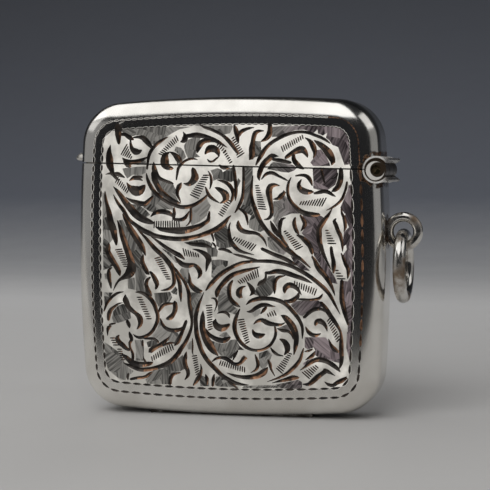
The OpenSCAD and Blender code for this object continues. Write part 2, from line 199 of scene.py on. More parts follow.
cuts_middle_left = """
-15.85 5.2 .1, -15.4 4 .4, -15.1 3 .55, -14.75 2 .6, -14.4 1 .65, -14.05 0 .7, -13.8 -1 .8, -13.8 -1.8 1,
    -14.2 -2.5 .9, -14.9 -2.95 .5, -15.7 -3.45 .25, -16.2 -4.15 .2, -16.55 -4.9 .06
-15 6.1 .15, -14.7 5.5 .35, -14.25 4.7 .5, -13.7 3.75 .6, -13.1 2.85 .65, -12.5 1.95 .65, -12 1.05 .5,
    -11.65 .2 .12
-10.1 4.3 .1, -9.5 4 .35, -8.5 3.85 .5, -7.5 3.78 .6, -6.5 3.75 .68, -5.5 3.85 .65, -4.5 4.1 .6,
    -3.6 4.4 .5, -2.9 4.8 .42, -2.3 5.25 .4, -2.2 5.9 .3, -2.1 6.4 .2
-10.8 5.75 .1, -10.3 6.2 .35, -9.6 6.45 .45, -8.8 6.45 .5, -8 6.2 .45, -7.6 5.9 .3
-7.35 6.9 .25, -7.3 6.2 .35, -7.4 5.6 .3, -7.55 5.2 .08
-7.2 5.35 .3, -6.5 5.3 .35, -5.9 5.45 .4, -5.45 5.9 .3, -5.1 6.5 .1
-4.85 6.9 .25, -4.85 5.8 .3, -4.95 5.1 .2, -5.3 4.6 .15, -5.6 4.4 .06
-17.15 1.9 .15, -17.25 1.35 .5, -17.35 .8 .55, -17.1 .2 .6, -16.75 -.4 .6, -16.35 -1 .55, -15.95 -1.65 .55,
    -15.65 -2.3 .45, -15.55 -2.7 .2
-16.75 -1.6 .1, -17.2 -1.95 .3, -17.2 -2.6 .45, -17.15 -3.3 .4, -16.98 -4 .3, -16.9 -4.6 .12
-11.95 .3 .1, -12.15 -.3 .4, -12.05 -1 .45, -11.7 -1.75 .5, -11.35 -2.35 .4, -11.1 -2.55 .1
-12.9 4 .08, -12.3 3.4 .2, -11.6 2.7 .3, -10.8 1.8 .4, -10.2 1.15 .45, -8.95 .05 .45, -8.3 -.7 .5,
    -7.75 -1.4 .55, -7.5 -2.2 .45, -7.4 -3.1 .4, -7.5 -3.95 .35, -8.1 -4.5 .3, -8.85 -4.75 .2,
    -9.4 -4.8 .06
-10.95 -2.15 .2, -10.6 -2.6 .4, -10.2 -3.3 .5, -9.95 -3.95 .45, -10.15 -4.6 .2
-10.95 -2.95 .15, -11.4 -3.3 .35, -11.6 -3.95 .4, -11.4 -4.6 .45, -11.05 -5.2 .4, -10.8 -5.6 .15
-10.8 2.9 .08, -9.9 2.3 .25, -9 1.65 .35, -8.1 1.05 .4, -7.2 .55 .45, -6.5 .2 .45, -5.85 -.3 .15
-7.3 .1 .1, -6.7 -.6 .4, -6 -1.1 .5, -5.2 -1.2 .5, -4.5 -1.1 .35, -3.9 -1.5 .45, -3.55 -2.1 .5,
    -3.6 -2.6 .35, -3.9 -3.05 .08
"""
cuts_middle = """
-5.8 2.05 .06, -4.7 1.85 .35, -3.8 1.8 .45, -2.9 1.7 .45, -1.9 1.4 .2
-1.75 2.1 .1, -1.45 1.85 .22, -1.25 1.55 .2, -1.15 1.3 .08
-1.8 3.3 .25, -1.6 2.8 .2, -1.5 2.3 .15
-4.65 1.15 .06, -3.9 1 .25, -3.2 .7 .4, -2.55 .25 .55, -2.25 -.3 .6, -2.45 -.95 .4, -2.6 -1.7 .2,
    -2.7 -2.05 .06
-5.2 -2.25 .1, -5.1 -3.05 .3, -5.05 -3.7 .4, -4.7 -4.2 .5, -4.2 -4.6 .55, -3.65 -4.85 .45, -3.3 -4.8 .2
-7.6 -1.2 .08, -7 -2 .3, -6.4 -2.8 .3, -5.9 -3.5 .3, -5.45 -4.4 .35, -5.2 -5.4 .4, -5.15 -6.6 .4,
    -4.95 -7.8 .4, -4.8 -9 .3, -4.9 -10.1 .3, -5.25 -11.1 .35, -5.8 -12.2 .4, -6.45 -13.1 .45,
    -6.95 -13.9 .5, -7.75 -14.75 .5, -8.6 -15.35 .5, -9.6 -15.75 .45, -10.6 -16.05 .42, -11.6 -16.22 .42,
    -12.6 -16.25 .42, -13.5 -16 .4, -14.3 -15.7 .3, -15.15 -15.35 .06
-7.3 -2.2 .1, -6.9 -2.9 .35, -6.6 -3.7 .4, -6.5 -4.6 .4, -6.45 -5.6 .3, -6.4 -6.4 .08
-2.7 -4.7 .15, -2.1 -3.95 .4, -1.35 -3.15 .45, -.65 -2.5 .45, .1 -1.95 .45, .9 -1.5 .4, 1.7 -1.1 .38,
    2.65 -.75 .35, 3.55 -.6 .3, 4.65 -.5 .3, 6 -.48 .35, 6.85 -.52 .35, 8.05 -.7 .35, 9.05 -.95 .35,
    9.95 -1.25 .35, 10.95 -1.75 .38, 11.85 -2.25 .4, 12.75 -2.85 .4, 13.7 -3.6 .4, 14.6 -4.4 .4,
    15.3 -5.3 .35, 15.95 -6.5 .25, 16.65 -7.8 .06
-1.1 -5.5 .3, -1.05 -4.95 .5, -.65 -4.25 .45, -.1 -3.6 .5, .55 -2.95 .5, 1.35 -2.4 .45, 2.2 -2.1 .42,
    3 -1.85 .38, 3.9 -1.65 .3, 5.2 -1.3 .08
1.2 -3.3 .2, .8 -3.95 .4, .7 -4.75 .42, .8 -5.6 .42, 1.2 -6.25 .45, 1.8 -6.7 .4, 2.3 -7 .1
3.1 -4.05 .1, 2.55 -4.25 .3, 2.2 -4.7 .6, 2.15 -5.25 .6, 2.35 -5.6 .35, 2.65 -5.6 .1
3.25 -3.4 .06, 3.75 -3.95 .35, 4.1 -4.5 .5, 4.15 -4.95 .4, 3.7 -5.4 .06
2.1 5.15 .15, 2.1 4.6 .45, 2.35 4.05 .5, 2.9 3.7 .45, 3.65 3.55 .4, 4.35 3.5 .35, 5 3.3 .3, 5.55 2.85 .25,
    5.95 2.3 .2, 6.2 1.6 .06
2.2 6.9 .2, 2.8 6.55 .3, 3.2 6.05 .3, 3.4 5.3 .25, 3.5 4.6 .1
.95 4.9 .1, .75 4.3 .2, .75 3.5 .35, .9 2.6 .4, 1.3 1.85 .45, 1.9 1.2 .4, 2.65 .8 .3, 3.45 .6 .2,
    4.35 .4 .06
5.5 1.25 .3, 6.4 .85 .35, 7.3 .45 .38, 8.25 .1 .4, 9.15 -.3 .4, 9.85 -.7 .35, 10.6 -1.05 .1
-.75 1.15 .2, .1 1.1 .3, .75 .85 .3, 1.2 .6 .1
1.35 .5 .1, 2.1 .3 .25, 3 .1 .25, 3.9 -.15 .25, 4.8 -.3 .1
-1.9 -5.8 .1, -1.35 -5.9 .25, -1.1 -6.45 .25, -1.2 -7 .15, -1.45 -7.7 .06
"""
cuts_middle_right = """
6.75 5.15 .1, 7.05 4.5 .4, 7.4 3.85 .5, 7.8 3.4 .5, 8.25 2.95 .4, 8.6 2.4 .3, 9.05 1.85 .25, 9.45 1.4 .06
8.95 5.6 .08, 8.4 5.4 .3, 8.15 4.75 .42, 8.1 3.95 .3, 8.3 3.2 .12
10.3 5.6 .2, 10.15 4.95 .4, 10.3 4.2 .4, 10.6 3.6 .35, 10.85 3.3 .1
11.05 5.95 .2, 11.4 5.4 .35, 11.7 4.85 .45, 11.5 4.3 .35, 11.1 3.75 .08
10.55 3.2 .15, 11.25 2.85 .4, 11.85 2.3 .5, 12.4 1.7 .5, 12.65 .95 .4, 12.7 .6 .25
12.7 .2 .2, 13.05 -.3 .35, 13.4 -1.05 .5, 13.85 -1.7 .55, 14.4 -2.3 .5, 14.95 -3.05 .45, 15.4 -3.85 .35,
    15.75 -4.7 .2, 15.9 -5.2 .06
15.6 7 .08, 15.15 6.2 .25, 14.7 5.6 .4, 14.15 4.85 .5, 13.75 4.15 .5, 13.7 3.3 .55, 13.75 2.4 .5,
    14 1.5 .42, 14.3 .6 .35, 14.7 -.25 .25, 15.05 -.95 .2, 15.4 -1.6 .06
16.8 6.9 .1, 16.95 6.2 .25, 17.15 5.75 .3, 17.35 4.95 .35, 17.4 4.3 .3, 17.2 3.7 .08
16.1 5.5 .1, 15.85 5.15 .35, 16.1 4.6 .4, 16.35 3.85 .4, 16.7 3.15 .4, 16.9 2.3 .3, 17 1.6 .25, 17 .95 .08
15.4 1.5 .3, 15.5 .6 .35, 15.7 -.3 .4, 15.75 -1.2 .45, 15.7 -2.05 .15
16.8 .7 .1, 17.1 .05 .3, 17.4 -.75 .35, 17.75 -1.5 .35, 17.8 -2.2 .3, 17.7 -2.8 .1
16.9 -3.15 .35, 16.85 -4.4 .4, 16.9 -5.75 .5, 17.05 -6.45 .5, 17.25 -7.35 .45, 17.5 -8.25 .35, 17.75 -9.2 .2
6.05 -2.15 .3, 6.7 -2.1 .35, 7.5 -1.9 .45, 8.4 -1.95 .5, 9.3 -2.2 .5, 10.2 -2.5 .45, 11.15 -2.8 .4,
    11.95 -3.15 .3, 12.7 -3.5 .06
6.05 -2.2 .2, 6.05 -2.8 .25, 5.75 -3.3 .4, 5.25 -3.6 .45, 4.9 -3.9 .2
8.8 -2.5 .1, 7.95 -2.7 .3, 7.45 -3.15 .4, 7.3 -3.8 .4, 7.3 -4.4 .35, 7.3 -5.05 .1
8.75 -4.85 .25, 8.8 -4.3 .5, 9.25 -3.85 .55, 9.85 -3.85 .5, 10.5 -4.25 .4, 10.85 -4.7 .25, 11.15 -5.15 .08
10.75 -4.95 .2, 10.6 -5.4 .4, 10.05 -5.85 .45, 9.4 -6.1 .4, 8.7 -5.95 .1
10.4 -5.75 .1, 11.3 -5.8 .25, 12.25 -5.85 .25, 13.05 -5.75 .25, 13.7 -5.6 .3, 14.05 -5.2 .2, 14.2 -4.95 .06
3.2 -6.65 .1, 3.9 -6.1 .35, 5.2 -5.75 .45, 6.4 -5.75 .4, 7.3 -5.85 .4, 8.4 -6.2 .4, 9.25 -6.8 .4,
    9.85 -7.45 .4, 10.5 -8.2 .38, 10.95 -8.9 .35, 11.25 -9.65 .3, 11.3 -10.45 .25, 11.25 -11.3 .08
"""
cuts_lower_left = """
-15.05 -5.1 .1, -15.85 -5.25 .25, -16.6 -5.7 .3, -17.15 -6.25 .3, -17.55 -6.75 .3, -17.75 -7.2 .25,
    -18 -7.9 .15
-13.15 -5.1 .12, -12.4 -5.15 .3, -11.6 -5.5 .4, -10.9 -6.1 .45, -10.4 -6.8 .45, -10.15 -7.55 .4,
    -9.9 -8.35 .4, -9.95 -9.2 .4, -10.25 -9.9 .35, -10.7 -10.65 .35, -11.3 -11.2 .35, -12.05 -11.55 .35,
    -12.75 -11.65 .3, -13.3 -11.45 .2, -13.6 -11.2 .08
-14.75 -5.5 .1, -14.75 -6.2 .6, -14.6 -6.55 .6, -14.3 -7.2 .5, -13.75 -7.75 .45, -13.15 -8.2 .4,
    -12.6 -8.8 .6, -12.5 -9.55 .5, -12.75 -10.1 .3, -13.05 -10.45 .08
-15.15 -6.65 .06, -15.85 -6.85 .2, -16.5 -7.3 .3, -16.95 -7.7 .4, -17.25 -8.35 .45, -17.35 -9.15 .3
-16.95 -10.05 .15, -17.35 -10.3 .4, -17.5 -10.8 .25, -17.5 -11.45 .06
-17.2 -9.85 .15, -16.8 -9.75 .2, -16.3 -9.65 .15
-14.5 -9.3 .35, -14.25 -9.8 .4, -14.15 -10.2 .2
-15.75 -11.35 .12, -16.05 -11.8 .45, -15.75 -12.35 .5, -15.2 -12.8 .5, -14.7 -13.25 .4, -14.15 -13.5 .25
-14.2 -10.9 .15, -14 -11.45 .4, -13.85 -12 .35, -14.15 -12.45 .3, -14.05 -13.2 .25, -13.7 -14 .3,
    -13.7 -14.7 .3
-15.4 -14.1 .1, -14.85 -14.45 .4, -14.3 -14.9 .5, -13.7 -15.35 .6, -12.85 -15.5 .55, -11.95 -15.5 .5,
    -11.3 -15.4 .45, -10.8 -15.25 .25
-12.2 -12.1 .2, -12.2 -12.75 .25
-12.05 -14.7 .2, -11.75 -15.2 .2
-11.95 -11.8 .15, -11.15 -11.75 .25, -10.4 -11.8 .3, -9.85 -12.2 .25
-8.2 -11.45 .1, -8.6 -11.9 .3, -9.15 -12.35 .4, -9.85 -12.8 .4, -10.6 -13.2 .5, -11.05 -13.55 .5
-7.4 -12.3 .1, -8.2 -12.35 .25, -9.2 -12.75 .2, -9.8 -13 .1
-5.65 -9.15 .3, -5.9 -9.8 .35, -6.2 -10.55 .35, -6.55 -11.35 .4, -6.9 -12.2 .35, -7.4 -12.65 .15
-9.5 -8.9 .15, -9.2 -9.65 .3, -8.7 -10.2 .35, -7.85 -10.5 .4, -6.95 -10.45 .4, -6.4 -10.25 .3, -6 -9.9 .15
-9.7 -7.8 .2, -9.4 -7.3 .35, -8.95 -6.85 .35, -8.3 -6.7 .3, -7.6 -6.65 .2
-7.3 -6.55 .45, -7.25 -7.35 .5, -7.5 -8.1 .45, -7.95 -8.65 .5, -8.5 -8.85 .3
-14.4 -16.95 .25, -14.5 -17.45 .25, -14.45 -17.75 .15
-14.05 -17.7 .25, -13.15 -17.5 .3, -12.05 -17.35 .3, -11.5 -17.1 .35, -11.15 -16.8 .3, -10.8 -16.55 .12
-6.6 -16.55 .15, -7.25 -16.7 .25, -7.75 -16.9 .4, -8.05 -17.45 .4, -8.15 -18.2 .35
"""
cuts_lower_middle = """
-3 -5 .06, -3.4 -5.9 .2, -3.75 -6.7 .3, -4 -7.5 .38, -4.2 -8.3 .42, -4.25 -9 .42, -4.2 -9.9 .45,
    -4.1 -11 .48, -3.8 -12.1 .48, -3.45 -13.2 .45, -2.9 -14.2 .45, -2.2 -15.1 .45, -1.35 -15.9 .45,
    -.45 -16.75 .42, .55 -17.35 .42, 1.55 -17.8 .35, 2.55 -18 .25, 3.45 -18.05 .08
-3.15 -7.65 .08, -3.2 -8.35 .4, -3.25 -9.2 .55, -3.25 -10.1 .6, -3 -11 .65, -2.65 -11.8 .75, -2.1 -12.65 .8,
    -1.65 -13.3 .6, -1 -13.95 .15
-1 -7.95 .1, -.35 -7.75 .25, .25 -7.85 .3, .65 -8.2 .25, .75 -8.55 .08
-1.3 -8.8 .15, -1.4 -9.3 .5, -1.1 -9.8 .65, -.45 -10.05 .7, .2 -9.85 .55, .7 -9.5 .25
-2.75 -10.2 .1, -2.35 -10.9 .35, -1.75 -11.35 .42, -1 -11.7 .5, -.25 -11.8 .55, .25 -11.65 .5, .75 -11.4 .25
2.25 -7.3 .12, 1.9 -8 .3, 1.6 -8.8 .4, 1.45 -9.75 .45, 1.6 -10.65 .42, 1.95 -11.45 .4, 2.45 -12.1 .38,
    3.1 -12.65 .35, 3.9 -13 .3, 4.75 -13.1 .28, 5.55 -12.95 .28, 6.1 -12.7 .3, 6.6 -12.35 .3,
    7.05 -11.75 .3, 7.35 -11.1 .3, 7.45 -10.45 .28, 7.35 -9.8 .2
4.1 -10.2 .15, 4.3 -10.7 .4, 4.75 -11 .55, 5.3 -11 .5, 5.85 -10.8 .15
3.3 -7.65 .1, 3.9 -7.6 .32, 4.6 -7.1 .4, 5.4 -6.7 .42, 6.2 -6.65 .35, 6.9 -6.8 .2, 7.4 -6.85 .06
5.3 -7.9 .12, 5.75 -7.35 .35, 6.1 -7 .25
4.25 -9.4 .08, 4.8 -8.95 .3, 5.5 -8.8 .4, 6.1 -9.1 .5, 6.7 -9.3 .45, 7.5 -9.4 .35, 8.2 -9.4 .25,
    8.8 -9.1 .06
-1.85 -14.85 .1, -1.35 -14.45 .25, -.65 -14.25 .3, .1 -14.35 .4, .75 -14.7 .4, 1.35 -15.1 .35, 2 -15.1 .35,
    2.55 -14.65 .4, 2.9 -14.2 .5, 3.2 -14.3 .2
4.45 -13.7 .1, 4.7 -14.4 .3, 4.85 -15.1 .35, 4.6 -15.8 .28, 3.8 -16.3 .06
.3 -16.4 .06, 1.2 -16.7 .25, 2.2 -16.9 .35, 3.2 -16.95 .42, 4.2 -16.85 .5, 5.1 -16.55 .6, 5.8 -16.05 .6,
    6.25 -15.5 .15
1.2 -14.6 .08, 1.45 -13.95 .3, 1.85 -13.3 .2
-5.65 -13.55 .1, -5.8 -14.2 .4, -5.9 -14.9 .45, -5.75 -15.65 .45, -5.45 -16.3 .4, -5.45 -16.9 .35,
    -5.9 -17.55 .1
-4.75 -11.6 .08, -4.72 -12.6 .2, -4.75 -13.6 .15, -4.65 -14 .06
-3.55 -15.25 .08, -3.45 -16 .25, -3.65 -16.8 .4, -4.1 -17.55 .45, -4.65 -18.3 .15
-2.85 -16.7 .1, -2.65 -17.3 .4, -2.65 -18.1 .2
-1.55 -16.65 .1, -1.7 -17.35 .35, -1.8 -18.3 .25
.6 -17.7 .2, 1.2 -18.1 .3, 1.9 -18.6 .1
"""
cuts_lower_right = """
13.95 -6.2 .3, 14.6 -7 .45, 15.2 -7.9 .45, 15.85 -8.8 .4, 16.4 -9.65 .3, 16.7 -10.3 .25, 16.8 -11.2 .35,
    16.8 -12.2 .45, 16.8 -13.1 .45, 16.85 -13.9 .4, 16.75 -14.7 .35, 16.5 -15.4 .1
11.55 -8.3 .3, 12.05 -7.8 .35, 12.6 -7.35 .4, 13.25 -7.1 .4, 13.95 -7.1 .3, 14.6 -7.45 .2, 14.85 -7.75 .06
13.15 -9.3 .3, 13.3 -8.9 .45, 13.85 -8.8 .55, 14.4 -9.2 .4, 14.7 -9.75 .25, 14.8 -10.2 .06
11.75 -9.65 .12, 12.05 -10.25 .35, 12.6 -10.7 .4, 13.25 -10.8 .35, 13.85 -10.55 .12
15 -11.3 .1, 15.35 -12.1 .3, 15.8 -12.65 .45, 16.3 -13 .3, 16.6 -13.05 .1
11.6 -13.1 .1, 12.15 -13 .25, 12.7 -12.75 .15
13.05 -13.1 .15, 12.7 -13.65 .4, 12.15 -14 .25, 11.7 -14.3 .06
10.95 -15.75 .08, 11.7 -15.2 .25, 12.4 -14.65 .4, 13.15 -14.25 .45, 13.95 -14.2 .5, 14.8 -14.45 .45,
    15.6 -14.9 .45, 16.25 -15.4 .35, 16.6 -15.8 .12
11.3 -17.7 .1, 12.1 -17.7 .35, 12.8 -17.2 .5, 13.4 -16.65 .5, 14 -16.2 .45, 14.6 -15.75 .45
14.4 -15.5 .2, 14.8 -15.8 .4, 15.4 -16.1 .2, 15.9 -16.4 .06
14.45 -17.3 .1, 14.95 -17.65 .3, 15.6 -17.75 .35, 16.2 -17.35 .4, 16.85 -17.05 .45, 17.4 -16.7 .3
8.25 -8.1 .12, 8.75 -8.35 .5, 9.4 -9 .65, 9.95 -9.8 .7, 10.3 -10.7 .6, 10.4 -11.65 .5, 10.25 -12.55 .4,
    10.05 -13.55 .12
7.7 -9.95 .12, 8.4 -10.2 .35, 9.2 -10.3 .3, 9.75 -10.75 .25, 9.95 -11.4 .08
8.05 -11.45 .15, 8.6 -11.7 .45, 9.05 -12.3 .6, 9.1 -13 .5, 8.7 -13.6 .15
6.7 -12.7 .12, 7.15 -13.25 .3, 7.75 -13.65 .25, 8.5 -13.8 .08
6.3 -14.4 .15, 6.6 -15 .35, 6.75 -15.7 .25, 7.3 -16.7 .06
11.45 -12.65 .1, 11.25 -13.25 .25, 10.95 -14.2 .35, 10.4 -15 .4, 9.75 -15.65 .4, 9.05 -16.25 .35,
    8.05 -16.8 .25, 7.05 -17.2 .15, 6.2 -17.5 .06
6.9 -17.65 .06, 8 -17.35 .25, 9 -17.1 .4, 9.85 -16.85 .5, 10.6 -16.8 .3
"""

# Rows of fine shading ticks in the leaves: "x z length lean" at the two ends of each row.
tick_rows = """
-14.73 15.36 1.4 58, -13.68 14.18 .3 58
-15.86 11 .7 60, -14.27 9.36 .45 60
-9.3 14.65 .4 -20, -6.8 16.85 .65 -65
-.75 16 .45 50, .15 14.95 .4 45
.2 14.85 .35 40, 1.05 13.4 .35 35
1.41 16.82 .35 35, 2.5 14.4 .95 32
-2.55 11.6 .7 0, -4.3 8.6 1.1 -25
.8 8 .6 -28, -.45 6 .6 -32
4.85 10.1 .4 0, 5.6 6.85 .9 -5
8.5 15.2 .65 -70, 11.4 16.85 .45 -75
11.1 7.65 .4 60, 14.4 7.8 1.05 62
-15.7 1 .8 8, -14.5 -1.4 .7 0
-10.3 4.6 .75 85, -6.6 4.7 .75 95
-9.85 -.15 .7 15, -8.25 -3.15 .5 0
-12.6 -5.85 .6 0, -11.2 -8.9 .55 0
-5.9 .7 .9 -75, -3.8 .25 .4 -75
1.45 2.7 .4 50, 4.3 1.4 .9 50
2.2 -3.5 .45 -45, 4.9 -2.15 .9 -80
8.85 3.7 .3 25, 10.85 1.4 .9 25
14.8 3.85 .3 0, 15.5 2.05 .9 0
16.2 -1.7 .3 0, 16.8 -2.85 .9 0
10.2 -3.6 .55 90, 13.15 -4.75 .75 68
-16.65 -11.8 .7 0, -16.2 -12.8 .7 0
-15.7 -13.4 .5 0, -15.2 -14.9 .4 0
-10.8 -14.65 .5 -80, -7.75 -12.8 .8 -70
-2.25 -6.85 .7 5, -2.1 -10.25 .5 20
2.4 -8.8 .75 8, 3.35 -12 .5 30
-.65 -15 .55 70, 2.9 -15.9 .55 90
-4.45 -14.1 .55 10, -4 -16.65 .5 35
15.05 -8.55 .55 50, 16.4 -11.4 .55 45
13.3 -15.2 .45 -40, 11.75 -16.45 1.1 -40
9.5 -13.45 .35 -15, 7.95 -15.9 .9 -40
6.35 -8.1 .35 -65, 7.35 -7.75 .6 -65
"""

